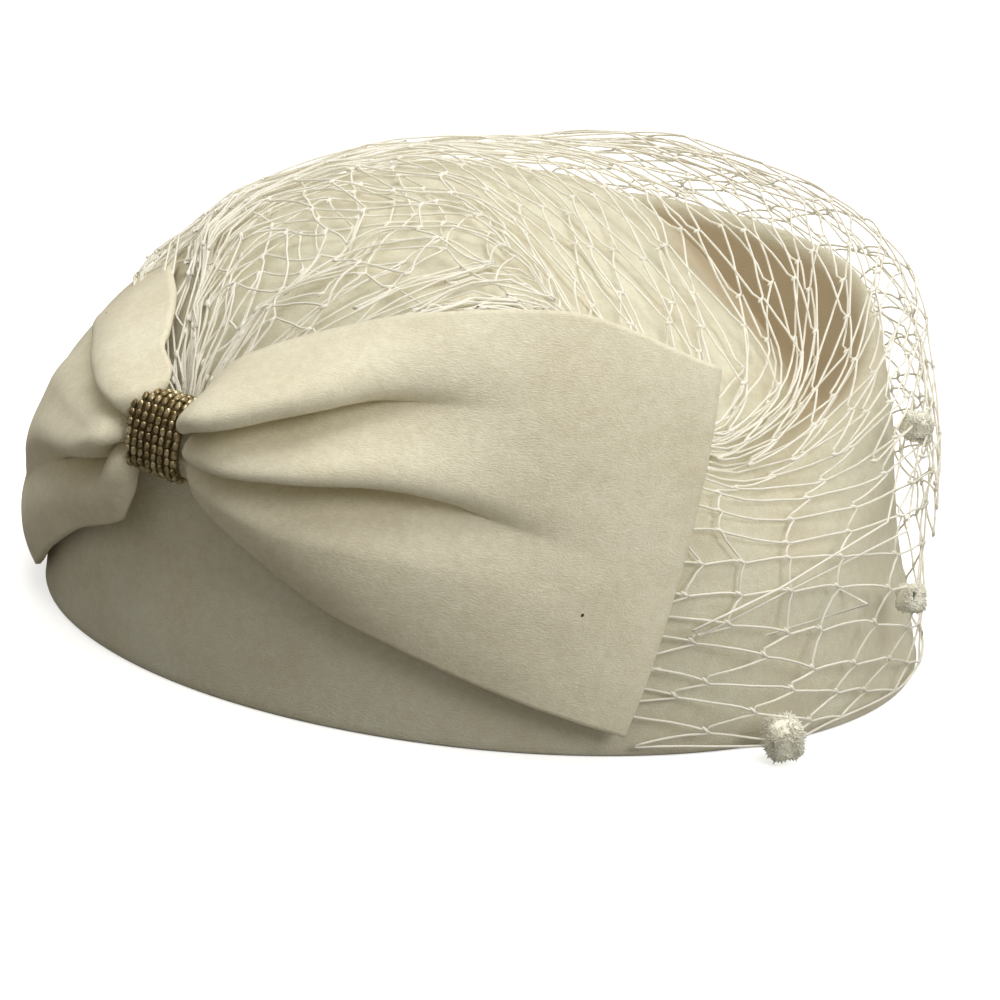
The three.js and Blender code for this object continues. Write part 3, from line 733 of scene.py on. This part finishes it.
# %% Make the strip
BOW_STATIONS = 200
BOW_STEPS = 90
BOW_WAVER = 0.3 * MM
EDGE_ROUND = 0.35 * MM
STATIONS_BUNCH = 1.15  # above 1 the strip's stations stand closer together at the pinch
BOW_LUMPS = 22 * MM, 7 * MM
BOW_SMALL_SHARE = 0.4


def closed_sheet(middle, thickness, round_by):
    """Points and faces of a thick sheet with rounded cut edges around a grid of points."""
    rows, columns = middle.shape[:2]
    normals = skin_normals(middle, around=False)
    front = middle + normals * thickness / 2
    back = middle - normals * thickness / 2
    points = np.concatenate([front.reshape(-1, 3), back.reshape(-1, 3)])
    size = rows * columns
    faces = grid_faces(rows, columns) + grid_faces(rows, columns, start=size, flip=True)
    number = np.arange(size).reshape(rows, columns)
    loop = np.concatenate([number[0, :-1], number[:-1, -1], number[-1, :0:-1], number[:0:-1, 0]])
    inward = middle.copy()
    inward[0], inward[-1] = middle[1], middle[-2]
    inward[:, 0], inward[:, -1] = inward[:, 1], inward[:, -2]
    outward = unit(middle - inward).reshape(-1, 3)[loop]
    lip = middle.reshape(-1, 3)[loop] + outward * round_by
    start = len(points)
    for j, here in enumerate(loop):
        k = (j + 1) % len(loop)
        there = loop[k]
        faces.append([int(there), int(here), start + j, start + k])
        faces.append([start + k, start + j, int(here) + size, int(there) + size])
    return np.vstack([points, lip]), faces


def make_bow():
    step = np.linspace(-1, 1, BOW_STATIONS + 1)
    share = np.sign(step) * np.abs(step) ** STATIONS_BUNCH
    across = np.linspace(0, 1, BOW_STEPS + 1)
    share, across = np.meshgrid(share, across)
    middle = bow_middle(share, across)
    normals = skin_normals(middle, around=False)
    loose = smooth(np.abs(share), 0.12, 0.3)
    broad, small = BOW_LUMPS
    hand = waver(middle, broad, 3) + BOW_SMALL_SHARE * waver(middle, small, 9)
    middle = middle + normals * (hand * loose * BOW_WAVER)[..., None]
    points, faces = closed_sheet(middle, BOW_FELT, EDGE_ROUND)
    bow = make_piece("felt_bow", points, faces, "bow")
    bow.data.materials.append(bow_felt)
    return bow


bow = make_bow()

# %% [markdown]
# ## The beaded band
# A strip of small metal beads is stitched round the pinch, eight beads wide. Each bead is a short
# barrel with a hole, threaded along the strip. A bumpy texture on a ring would do from afar, but beads
# glitter one by one, so each is a lathed barrel of its own, set on a dark core that shows as the gaps.

# %% Lay out the band
BAND_WIDTH = 12.8 * MM
BAND_DEPTH = 11 * MM
BAND_HALF_HEIGHT = 9.4 * MM
BAND_THICKNESS = 2 * MM
BEAD_COLUMNS = 8
BEAD_ROWS = 22
BEAD_LENGTH = 1.95 * MM
BEAD_RADIUS = 0.7 * MM
BEAD_SIDES = 8
BEAD_STEPS = 12  # places on the band's line for each bead

band_low, band_high = (np.array(c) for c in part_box("bead_band"))
lean = math.radians(KNOT_LEAN)
knot_up = np.array([0, 0, 1]) * math.cos(lean) + knot_along * math.sin(lean)
knot_side = np.cross(knot_up, knot_out)
band_middle = (band_low + band_high) / 2 + knot_along * KNOT_SHIFT[0]
band_middle[2] += KNOT_SHIFT[1]


def band_ring(angle, inset):
    """Points round the band's middle line, as distances outward and upward."""
    power = 2 / BOW_SQUARENESS
    halves = BAND_DEPTH / 2 - inset, BAND_HALF_HEIGHT - inset
    ways = np.cos(angle), np.sin(angle)
    return tuple(np.sign(w) * np.abs(w) ** power * half for w, half in zip(ways, halves))


def even_ring(count, inset):
    """The same ring at even steps of length, starting at the face's middle."""
    fine = np.linspace(0, 2 * math.pi, 721)
    out, up = band_ring(fine, inset)
    run = np.append(0, np.cumsum(np.hypot(np.diff(out), np.diff(up))))
    at = np.interp(np.arange(count) / count * run[-1], run, fine)
    return band_ring(at, inset)


def from_band(out, up, side):
    """Places in the hat from distances in the band's own frame."""
    return (
        band_middle
        + knot_out * np.asarray(out)[..., None]
        + knot_up * np.asarray(up)[..., None]
        + knot_side * np.asarray(side)[..., None]
    )


# %% Thread the beads
CORE_SIDES = 72
CORE_INSET = 1.0 * MM
CORE_EDGE = 0.4 * MM  # how far the core ends inside the beads' outer columns
BEAD_INSET = 0.1 * MM
bead_profile = table(
    "along radius", [[-0.5, 0.5], [-0.4, 0.85], [-0.15, 1.0], [0.15, 1.0], [0.4, 0.85], [0.5, 0.5]]
)


def make_band():
    bodies, tints = [], []
    half = BAND_WIDTH / 2 - CORE_EDGE
    outer, inner = even_ring(CORE_SIDES, CORE_INSET), even_ring(CORE_SIDES, BAND_THICKNESS)
    rings = [from_band(*outer, -half), from_band(*outer, half)]
    rings += [from_band(*inner, half), from_band(*inner, -half)]
    core = np.concatenate(rings)
    faces = grid_faces(4, CORE_SIDES, around=True, flip=True)
    last = 3 * CORE_SIDES
    for j in range(CORE_SIDES):
        k = (j + 1) % CORE_SIDES
        faces.append([last + j, last + k, k, j])
    bodies.append((core, faces))
    tints.append(np.zeros(len(core)))
    pitch = BAND_WIDTH / BEAD_COLUMNS
    for column in range(BEAD_COLUMNS):
        side = (column + 0.5) * pitch - BAND_WIDTH / 2
        line = from_band(*even_ring(BEAD_ROWS * BEAD_STEPS, BEAD_RADIUS + BEAD_INSET), side)
        for k in range(0, len(line), BEAD_STEPS):
            middle = line[k] + chance.normal(0, 0.05 * MM, 3)
            ahead = unit(line[(k + 2) % len(line)] - line[k - 2] + chance.normal(0, 0.06 * MM, 3))
            length = BEAD_LENGTH * chance.uniform(0.92, 1.04)
            places = middle + ahead * (bead_profile["along"] * length)[:, None]
            radius = bead_profile["radius"] * BEAD_RADIUS * chance.uniform(0.92, 1.05)
            body = thread(places, radius, BEAD_SIDES)
            bodies.append(body)
            tints.append(np.full(len(body[0]), chance.uniform(0.3, 1)))
    points, faces = gather_bodies(bodies)
    band = make_piece("beaded_band", points, faces, "bead_band")
    store(band, "bead_tint", np.concatenate(tints))
    return band


band = make_band()

# %% [markdown]
# The beads are old gilt brass: bright where they stand proud, brown where the plating has gone. The
# core under them is plain dark thread. One material does both, because a value stored on each bead
# says how bright its plating is, and 0 means the core.

# %% Tarnish and the bead material
def tarnish_group():
    tree, given, made = start_group(
        "tarnish",
        [("Bright", "Color", (1, 1, 1, 1)), ("Dull", "Color", (0, 0, 0, 1)), ("Plating", "Float", 1),
         ("Scale", "Float", 1)],
        [("Color", "Color"), ("Roughness", "Float"), ("Height", "Float")],
    )
    link, given = tree.links.new, given.outputs
    spots = put(tree, "ShaderNodeTexNoise", Detail=3.0)
    link(in_millimetres(tree), spots.inputs["Vector"])
    link(given["Scale"], spots.inputs["Scale"])
    worn = spread(tree, spots.outputs["Fac"], 0.4, 0.66)
    kept = maths(tree, "MULTIPLY", maths(tree, "SUBTRACT", 1.0, worn), given["Plating"])
    link(blend(tree, kept, given["Dull"], given["Bright"]), made.inputs["Color"])
    link(maths(tree, "MULTIPLY_ADD", worn, 0.3, 0.24), made.inputs["Roughness"])
    link(spots.outputs["Fac"], made.inputs["Height"])
    return tree


def bead_material():
    values = {"Bright": colour(248, 234, 194), "Dull": colour(120, 100, 62), "Scale": 0.9}
    stored = ("bead_tint", "Plating")
    material, plating = grouped_material("bead_metal", tarnish, values, (0.05 * MM, 0.4), stored)
    tree = material.node_tree
    metal = tree.nodes["Principled BSDF"].inputs["Metallic"]
    tree.links.new(spread(tree, plating, 0.05, 0.15), metal)
    return material


tarnish = tarnish_group()
band.data.materials.append(bead_material())
print("bead_metal made")

# %% [markdown]
# ## The veil
# Veiling is a coarse net of stiff thread. Its strands zigzag side by side, and where two meet they run
# together for a moment in a small knot, so the holes are diamonds. Here the net is bunched behind the
# band, fans out over the crown and ends at the rim on the far side. A flat grid that is wrapped on the
# crown would stretch its diamonds; a real net keeps its strands' length and changes their angle. So
# each row of knots is placed by the thread's length: where the fan is wide the diamonds are short, and
# where it narrows they draw out.

# %% The felt that the net lies on
SQUARE_STEP = 0.012  # on the disk; how far round a spot the felt's slope is taken


def turn_and_reach(spot):
    """A spot's turn in degrees and its distance from the middle of the disk."""
    return np.degrees(np.arctan2(spot[..., 1], spot[..., 0])), np.linalg.norm(spot, axis=-1)


def under_net(spot):
    """The spanned felt below a spot on a disk whose middle is the pole and whose edge is the rim."""
    turn, reach = turn_and_reach(spot)
    return on_ribs(spanned_ribs, turn, 1 - reach)


def lifted(spot, lift):
    """The point that stands off the felt by that much, squarely."""
    ahead, beside = (
        under_net(spot + way) - under_net(spot - way) for way in np.eye(2) * SQUARE_STEP
    )
    return under_net(spot) + unit(np.cross(ahead, beside)) * np.asarray(lift)[..., None]


print("deepest span:", ((spanned_ribs - felt_ribs)[..., 2].max() / MM).round(1), "mm over the dent")

# %% The fan
# Each line of the fan is a curve on the disk. It leaves the band, bends past two places and ends at
# the net's edge. Across counts the lines from the bow's side round to the back.
FAN = table(
    "across turn_a reach_a turn_b reach_b turn_end reach_end",
    [
        [0.00, -110, 0.82, -86, 0.89, -71, 0.985],
        [0.14, -106, 0.78, -65, 0.92, -45, 0.985],
        [0.34, -100, 0.63, -40, 0.87, -12, 0.985],
        [0.50, -99, 0.44, -9, 0.75, 12, 0.985],
        [0.64, -114, 0.25, 25, 0.63, 37, 0.975],
        [0.78, -180, 0.22, 59, 0.66, 66, 0.950],
        [0.90, -188, 0.44, 97, 0.68, 97, 0.900],
        [1.00, -194, 0.66, 158, 0.68, 136, 0.820],
    ],
)
# Where the net stands off the felt: by how many millimetres, round which turn and reach, how widely.
PUFFS = table(
    "lift turn turn_spread reach reach_spread",
    [[11, 70, 50, 0.62, 0.30], [5, -2, 34, 0.80, 0.20], [3.5, 20, 40, 0.45, 0.25]],
)
NET_LIFT = 1.7 * MM
GATHER_REACH = 0.72
GATHER_WIDTH = 12 * MM
PLEATS = 5
PLEAT_SWAY = 0.045  # how far the bunched net folds over itself, as a share of the fan
PLEAT_STAND = 1.2 * MM
CRUMPLE = 1.4 * MM
CRUMPLE_SIZE = 11 * MM
PLEAT_START = 1.3  # radians; where across the fan the first pleat begins


def clear_of_tail(across):
    """0 for the lines that run under the bow's tail, which holds them flat, and 1 beyond."""
    return smooth(across, 0.26, 0.52)


def on_disk(turn, reach):
    return heading(turn) * np.asarray(reach)[..., None]


def veil_spot(across, down):
    """Where the net is on the disk, with its pleats folded sideways near the band."""
    down = np.asarray(down)
    bunched = 1 - smooth(down, 0.12, 0.42)
    wave = 2 * math.pi * PLEATS * across + PLEAT_START
    across = across + PLEAT_SWAY * np.sin(wave) * bunched * smooth(down, 0.0, 0.15)
    row = read(FAN, across)
    beside = heading(KNOT_TURN + 90) * (GATHER_WIDTH / rim_half[1] * (0.5 - across))[..., None]
    start = heading(KNOT_TURN) * GATHER_REACH + beside
    past_a = on_disk(row["turn_a"], row["reach_a"])
    past_b = on_disk(row["turn_b"], row["reach_b"])
    finish = on_disk(row["turn_end"], row["reach_end"])
    t = down[..., None]
    spot = (
        (1 - t) ** 3 * start
        + 3 * (1 - t) ** 2 * t * past_a
        + 3 * (1 - t) * t**2 * past_b
        + t**3 * finish
    )
    return spot, bunched, wave


def loose_point(across, down, extra=0.0):
    """The middle of the net's thread, before the dots hold it."""
    spot, bunched, wave = veil_spot(across, down)
    turn, reach = turn_and_reach(spot)
    puff = 0
    for lift, turn_at, turn_spread, reach_at, reach_spread in zip(*PUFFS.values()):
        apart = ((turn - turn_at) / turn_spread) ** 2 + ((reach - reach_at) / reach_spread) ** 2
        puff = puff + lift * MM * np.exp(-apart)
    free = smooth(down, 0.1, 0.45) * (1 - smooth(down, 0.82, 1))
    stand = PLEAT_STAND * (0.5 + 0.5 * np.cos(wave)) * bunched * clear_of_tail(across)
    return lifted(spot, NET_LIFT + puff * free + stand + extra)


DOT_REACH = 15 * MM  # how far round a dot the net follows it


def find_holds():
    """For each dot, the net's nearest place and the way from there to the dot."""
    net = loose_point(*np.meshgrid(np.linspace(0, 1, 81), np.linspace(0.5, 1, 101)))
    holds = []
    for node in ("chenille_dot_side", "chenille_dot_low", "chenille_dot_front"):
        middle = np.mean(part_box(node), axis=0)
        apart = np.linalg.norm(net - middle, axis=-1)
        place_on_net = net[np.unravel_index(apart.argmin(), apart.shape)]
        holds.append((place_on_net, middle - place_on_net))
        print(node, "draws the net out by", (apart.min() / MM).round(1), "mm")
    return holds


HOLDS = find_holds()


def veil_point(across, down, extra=0.0):
    """The middle of the net's thread."""
    path = loose_point(across, down, extra)
    drawn = 0
    for held_at, pull in HOLDS:
        apart = np.linalg.norm(path - held_at, axis=-1)
        drawn = drawn + pull * np.exp(-((apart / DOT_REACH) ** 2))[..., None]
    return path + drawn


# %% Space the knots by the thread's length
CELL_SIDE = 11.75 * MM
KNOT_RUN = 1.1 * MM  # half the stretch along which two strands touch
THREAD_RADIUS = 0.27 * MM
LEAST_ADVANCE = 0.45  # the flattest that a diamond may get, as a share of its side
FINE = 240
CROWDING = 0.88  # below 1 the lines stand wider apart towards the bow's side


def row_places(across, edge):
    """For each line across the fan, how far down each row of knots lies, from the edge inward."""
    down = np.linspace(0, 1, FINE)
    lines = veil_point(*np.meshgrid(across, down, indexing="ij"))
    runs = np.linalg.norm(np.diff(lines, axis=1), axis=2)
    length = np.concatenate([np.zeros((len(across), 1)), np.cumsum(runs, axis=1)], axis=1)
    apart = np.linalg.norm(np.diff(lines, axis=0), axis=2)
    wide = np.vstack([apart[:1], (apart[1:] + apart[:-1]) / 2, apart[-1:]])
    smoother = np.array([1, 2, 3, 2, 1]) / 9
    padded = np.pad(wide, ((2, 2), (0, 0)), mode="edge")
    wide = sum(w * padded[k : k + len(across)] for k, w in enumerate(smoother))
    rows = []
    for i in range(len(across)):
        left, places = np.interp(edge, down, length[i]), []
        while left > CELL_SIDE * 0.4:
            places.append(np.interp(left, length[i], down))
            half = np.interp(left, length[i], wide[i])
            advance = math.sqrt(max(CELL_SIDE**2 - half**2, (LEAST_ADVANCE * CELL_SIDE) ** 2))
            left -= advance
        rows.append(places)
    return rows


# %% [markdown]
# Each strand is one long thread. It leans to its left neighbour at one row and to its right neighbour
# at the next, and runs beside it for two millimetres. Seeded jitter moves every knot a little, the same
# for both strands that meet there, and slow noise crumples the bunched part. The net is folded double
# over the crown, so a second, wider layer stands above the first, and a third fold of it ends a
# little way from the band. A thread along each layer's edge ties the last knots together.

# %% Run the strands
KNOT_SLIP = 0.7 * MM  # how unevenly the knots sit along the lines
KNOT_STAND = 0.4 * MM  # and how unevenly they stand off
STRAND_GAP = 0.95  # from a knot's middle to each of its strands, as a share of the thread's radius
KNOT_ENDS = np.array([0.75, 0.3, -0.3, -0.75])  # along a knot, as shares of its run
KNOT_SWELL = np.array([1.0, 1.7, 1.7, 1.0])  # its radius there, as shares of the thread's
NEAR_DOWN = 0.01  # a short step down a line, over which its length is taken
HEM_SWELL = 1.15
HEM_STEPS = 6
EDGE_SAG = 0.012  # how far the edge thread hangs out between two knots, as a share of a line
GROUND_ROOM = 1.3  # the lowest that a thread's middle lies, as a share of its radius


def crumple(path, amount):
    """Moves a path by slow noise, more where the amount is larger."""
    moved = np.stack([waver(path, CRUMPLE_SIZE, seed) for seed in (2, 17, 31)], -1)
    return path + moved * (np.asarray(amount) * CRUMPLE)[:, None]


def net_layer(lines, first, last, edge, stand_off, sway_by):
    """Threads of one layer of net, with that many lines between two places across the fan."""
    line_across = first + (last - first) * np.linspace(0, 1, lines) ** CROWDING
    rows_of = row_places(line_across, edge)
    most = max(map(len, rows_of))
    sway = chance.normal(0, sway_by, (lines, most))
    slip = chance.normal(0, KNOT_SLIP, (lines, most))
    stand = chance.normal(0, KNOT_STAND, (lines, most))
    pitch = (last - first) / (lines - 1)
    bodies, knots = [], {}

    def lift(across, down, extra):
        rising = stand_off * smooth(down, 0.02, 0.25)
        path = veil_point(across, down, rising + extra)
        bunched = 1 - smooth(down, 0.2, 0.6)
        loose = clear_of_tail(np.asarray(across)) * smooth(down, 0, 0.1)
        path = crumple(path, 0.15 + loose * bunched)
        path[:, 2] = np.maximum(path[:, 2], GROUND_ROOM * THREAD_RADIUS)
        return path

    for strand in range(lines - 1):
        rows = min(len(rows_of[strand]), len(rows_of[strand + 1]))
        across, down, extra = [], [], []
        for row in range(rows):
            line = strand + (strand + row) % 2
            lean = 1 if line == strand else -1
            here = rows_of[line][row]
            at = line_across[line] + sway[line, row] * pitch * smooth(here, 0.0, 0.3)
            step = 0.3 * pitch * lean
            before = here - NEAR_DOWN
            near = veil_point(np.array([at, at + step, at]), np.array([here, here, before]))
            per_across = np.linalg.norm(near[1] - near[0]) / abs(step)
            per_down = np.linalg.norm(near[2] - near[0]) / NEAR_DOWN
            here = here + float(slip[line, row]) / per_down * (row > 0)
            beside = lean * THREAD_RADIUS * STRAND_GAP / max(per_across, 1e-4)
            for way in (1, -1):
                across.append(at + beside)
                down.append(min(here + way * KNOT_RUN / per_down, 1.0))
                extra.append(stand[line, row])
            knots[(line, row)] = (at, here, stand[line, row], KNOT_RUN / per_down)
        across.append(0.5 + (line_across[strand] - 0.5) * 0.9)
        down.append(0.0)
        extra.append(0.0)
        number = np.arange(len(across))
        steps = [0.0]
        for k in range(len(across) - 1):
            parts = 2 if k % 2 == 0 else 4
            steps += [k + (p + 1) / parts for p in range(parts)]
        fine = np.array(steps)
        ease = np.floor(fine) + smooth(fine - np.floor(fine), -0.35, 1.35)
        along = np.interp(fine, number, down), np.interp(fine, number, extra)
        bodies.append(thread(lift(np.interp(ease, number, across), *along), THREAD_RADIUS))
    for at, here, extra, run in knots.values():
        ends = np.clip(here + KNOT_ENDS * run, 0, 1)
        path = lift(np.full(4, at), ends, np.full(4, extra))
        bodies.append(thread(path, KNOT_SWELL * THREAD_RADIUS, sides=6))
    rim_knots = [knots[(line, 0)] for line in range(0, lines, 2) if (line, 0) in knots]
    at, here, extra, _ = np.array(rim_knots).T
    number = np.arange(len(at))
    fine = np.linspace(0, len(at) - 1, HEM_STEPS * (len(at) - 1) + 1)
    sag = np.sin(math.pi * (fine - np.floor(fine))) * EDGE_SAG
    hem = lift(
        np.interp(fine, number, at),
        np.minimum(np.interp(fine, number, here) + sag, 1),
        np.interp(fine, number, extra),
    )
    bodies.append(thread(hem, THREAD_RADIUS * HEM_SWELL))
    return bodies


def make_veil():
    inner = net_layer(lines=29, first=0.0, last=1.0, edge=1.0, stand_off=0.0, sway_by=0.12)
    outer = net_layer(
        lines=17, first=0.42, last=1.02, edge=0.87, stand_off=2.0 * MM, sway_by=0.12
    )
    folded = net_layer(
        lines=19, first=0.40, last=0.97, edge=0.36, stand_off=0.8 * MM, sway_by=0.15
    )
    points, faces = gather_bodies(inner + outer + folded)
    return make_piece("net_veil", points, faces, "veil")


veil = make_veil()

# %% [markdown]
# ## The chenille dots
# A chenille dot is a snip of chenille yarn: a core with short pile standing out all round it, tied to a
# knot of the net. A hair system would not export, so the pile is some hundreds of short blunt cones on
# a lumpy core, joined as one mesh. The yarn is cut square, so the tufts are rather boxy, and a small
# hole is left where the core's wire went through, with painted shade in it.

# %% Grow the tufts
PILE_LENGTH = 0.10  # share of the dot's radius
PILE_COUNT = 2200
PILE_RADIUS = 0.2 * MM
TUFT_SQUARE = 0.55  # 1 is a ball, and lower is boxier
HOLE = 0.09  # radius of the hole, as a share of the dot's
CORE_SHARE = 0.92  # how much of the tuft the core fills
HOLE_SHARE = 0.72  # and how much of it at the hole
PILE_ROOT = 0.86  # where the pile starts, as a share of the tuft's sides
PILE_TAPER = np.array([1, 0.9, 0.6])
TUFT_ROOM = 0.15 * MM  # the lowest that the pile lies


def ball_directions(count):
    """Even directions all round a ball."""
    height = 1 - (2 * np.arange(count) + 1) / count
    angle = np.arange(count) * math.pi * (3 - math.sqrt(5))
    ring = np.sqrt(1 - height**2)
    return np.stack([ring * np.cos(angle), ring * np.sin(angle), height], -1)


def boxed(ways):
    """Directions pushed out towards a box with round corners."""
    return np.sign(ways) * np.abs(ways) ** TUFT_SQUARE


def make_tuft(name, node, lean, hole_way):
    low, high = (np.array(c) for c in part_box(node))
    middle, radius = (low + high) / 2, (high - low).max() / 2
    sides = chance.uniform(0.72, 0.88, 3) * radius
    turned = np.array(Euler([math.radians(a) for a in lean]).to_matrix())
    hole_way = unit(np.array(hole_way, float))
    ball = bmesh.new()
    bmesh.ops.create_icosphere(ball, subdivisions=4, radius=1)
    core = np.array([v.co[:] for v in ball.verts])
    core_faces = [[v.index for v in f.verts] for f in ball.faces]
    ball.free()
    lumps = 1 + 0.12 * waver(core, 0.6, radius / MM) + 0.06 * waver(core, 0.22, 3)
    into_hole = np.linalg.norm(core - hole_way, axis=1) < 2 * HOLE
    filled = lumps * np.where(into_hole, HOLE_SHARE, CORE_SHARE)
    core = (boxed(core) * sides * filled[:, None]) @ turned.T
    bodies, dark = [(middle + core, core_faces)], [into_hole.astype(float)]
    ways = unit(ball_directions(PILE_COUNT) + chance.normal(0, 0.10, (PILE_COUNT, 3)))
    keep = np.linalg.norm(ways - hole_way, axis=1) > 2.4 * HOLE
    for way in ways[keep]:
        root = turned @ (boxed(way) * sides * PILE_ROOT)
        end = root + (turned @ way) * radius * PILE_LENGTH * chance.uniform(0.6, 1.15)
        bend = chance.normal(0, 0.05, 3) * radius
        path = middle + np.array([root, (root + end) / 2 + bend * 0.5, end + bend])
        path[:, 2] = np.maximum(path[:, 2], TUFT_ROOM)
        body = thread(path, PILE_TAPER * PILE_RADIUS, sides=3)
        bodies.append(body)
        dark.append(np.zeros(len(body[0])))
    points, faces = gather_bodies(bodies)
    tuft = make_piece(name, points, faces, node)
    # Painted shade: the points in the hole get 1, and their colour turns near black.
    store(tuft, "tuft_hole_shade", np.concatenate(dark))
    return tuft


tufts = [
    make_tuft("tuft_side", "chenille_dot_side", (5, 10, 20), (0.1, -0.9, -0.5)),
    make_tuft("tuft_low", "chenille_dot_low", (-20, 10, 35), (-0.3, -0.9, 0.1)),
    make_tuft("tuft_front", "chenille_dot_front", (12, -10, 18), (-0.95, -0.5, 0.1)),
]

# %% [markdown]
# ## Thread and pile
# Net thread and chenille are both spun: pale, soft, with a little sheen and a slow change of tone. They
# share one group with a fine twist in it, and each material sets how strong that twist is. Both are thin,
# and a faint glow of painted light makes them brighter.

# %% The spun group and its two materials
# painted light: how strongly thread and pile glow
PAINTED_THREAD_GLOW = 0.05


def spun_group():
    tree, given, made = start_group(
        "spun",
        [("Pale", "Color", (1, 1, 1, 1)), ("Shade", "Color", (0.5, 0.5, 0.5, 1)), ("Twist", "Float", 1),
         ("HoleShade", "Float", 0)],
        [("Color", "Color"), ("Height", "Float")],
    )
    link, given = tree.links.new, given.outputs
    own = in_millimetres(tree)
    slow = spread(tree, noise_at(tree, own, 0.12)["Fac"], 0.35, 0.65)
    fine = noise_at(tree, own, 4.5, detail=1.0)["Fac"]
    twist = maths(tree, "MULTIPLY", spread(tree, fine, 0.4, 0.6), given["Twist"])
    share = maths(tree, "MULTIPLY", maths(tree, "ADD", slow, twist), 0.5)
    body = blend(tree, share, given["Pale"], given["Shade"])
    # painted shade in the chenille tuft's hole
    link(blend(tree, given["HoleShade"], body, colour(40, 30, 20)), made.inputs["Color"])
    link(twist, made.inputs["Height"])
    return tree


spun = spun_group()


def spun_material(name, pale, shade, twist, rough, sheen, stored=None):
    values = {"Pale": pale, "Shade": shade, "Twist": twist}
    return grouped_material(
        name, spun, values, (0.06 * MM, 0.5), stored,
        Roughness=rough, Specular_IOR_Level=0.35, Sheen_Weight=sheen,
        # the glow is painted light
        Emission_Color=pale, Emission_Strength=PAINTED_THREAD_GLOW,
    )[0]


net_thread = spun_material(
    "net_thread", colour(252, 249, 236), colour(236, 230, 212), twist=0.8, rough=0.55, sheen=0.1
)
chenille_pile = spun_material(
    "chenille_pile", colour(250, 248, 234), colour(236, 232, 212), twist=1.0, rough=0.9, sheen=0.5,
    stored=("tuft_hole_shade", "HoleShade"),
)
veil.data.materials.append(net_thread)
for tuft in tufts:
    tuft.data.materials.append(chenille_pile)
print("spun materials made")

# %% [markdown]
# ## The floor, the light and the camera
# The hat stands on a plain pale table. The light is soft: most of it comes from straight above, half
# as much from the front right, and a little from the right. The table is white to the camera but sends
# back less light than it seems to, and Light Path tells the two apart.

# %% The floor
def make_floor():
    size = 6.0
    mesh = bpy.data.meshes.new("floor")
    corners_at = [(-size, -size, 0), (size, -size, 0), (size, size, 0), (-size, size, 0)]
    mesh.from_pydata(corners_at, [], [(0, 1, 2, 3)])
    floor = new_object("floor", mesh)
    material, tree, shader = start_material("table_white", Roughness=0.9, Specular_IOR_Level=0.1)
    path = put(tree, "ShaderNodeLightPath")
    tint = blend(tree, path.outputs["Is Camera Ray"], (0.2, 0.195, 0.18, 1), (0.9, 0.9, 0.89, 1))
    tree.links.new(tint, shader.inputs["Base Color"])
    shader.inputs["Emission Color"].default_value = (1, 1, 0.99, 1)
    glow = maths(tree, "MULTIPLY", path.outputs["Is Camera Ray"], 0.62)
    tree.links.new(glow, shader.inputs["Emission Strength"])
    mesh.materials.append(material)


make_floor()

# %% The light
LIGHT_AIM = (0, 0, 0.05)
LIGHT_TINT = (1, 1, 0.995)


def soft_light(name, place_at, size, watts):
    light = bpy.data.lights.new(name, "AREA")
    light.shape = "DISK"
    light.size = size
    light.energy = watts
    light.color = LIGHT_TINT
    lamp = new_object(name, light)
    lamp.location = place_at
    lamp.rotation_mode = "QUATERNION"
    lamp.rotation_quaternion = (Vector(place_at) - Vector(LIGHT_AIM)).to_track_quat("Z", "Y")


soft_light("overhead", (0, 0, 1.4), size=1.2, watts=11.6)
soft_light("front_right", (0.8, -0.9, 0.9), size=0.7, watts=5.6)
soft_light("right", (1.3, 0, 0.6), size=0.8, watts=2.4)


def make_sky():
    """A sky that is bright overhead and dim at the horizon and below."""
    world = bpy.data.worlds.new("studio")
    world.use_nodes = True
    tree = world.node_tree
    way = put(tree, "ShaderNodeTexCoord").outputs["Generated"]
    parts = put(tree, "ShaderNodeSeparateXYZ")
    tree.links.new(way, parts.inputs[0])
    height = spread(tree, parts.outputs["Z"], -0.1, 0.6)
    sky = tree.nodes["Background"]
    tint = blend(tree, height, (0.28, 0.245, 0.19, 1), (1, 0.965, 0.89, 1))
    tree.links.new(tint, sky.inputs["Color"])
    sky.inputs["Strength"].default_value = 0.43
    return world


bpy.context.scene.world = make_sky()
bpy.context.scene.view_settings.view_transform = "Standard"

# %% The camera
# It looks down on the rim's middle by a little under 19 degrees, tilted by 6, from about 0.66 m.
CAMERA_ELEVATION = math.radians(18.72)
CAMERA_TILT = math.radians(5.98)
CAMERA_DISTANCE = 656.3 * MM
CAMERA_AIM = (1.6 * MM, 0.0, 25.3 * MM)  # from the middle of the rim
CAMERA_LENS = 102.8  # mm, like the sensor
CAMERA_SENSOR = 36


def make_camera():
    sine, cosine = math.sin(CAMERA_ELEVATION), math.cos(CAMERA_ELEVATION)
    back = Vector((0, -cosine, sine))
    level, upright = Vector((1, 0, 0)), Vector((0, sine, cosine))
    right = level * math.cos(CAMERA_TILT) + upright * math.sin(CAMERA_TILT)
    upward = upright * math.cos(CAMERA_TILT) - level * math.sin(CAMERA_TILT)
    camera = new_object("camera", bpy.data.cameras.new("camera"))
    aim = Vector((*rim_middle, 0)) + Vector(CAMERA_AIM)
    turned = Matrix([right, upward, back]).transposed().to_4x4()
    camera.matrix_world = Matrix.Translation(aim + back * CAMERA_DISTANCE) @ turned
    camera.data.lens = CAMERA_LENS
    camera.data.sensor_width = CAMERA_SENSOR
    bpy.context.scene.camera = camera
    return camera


camera = make_camera()
print("camera at", [round(c, 3) for c in camera.location])
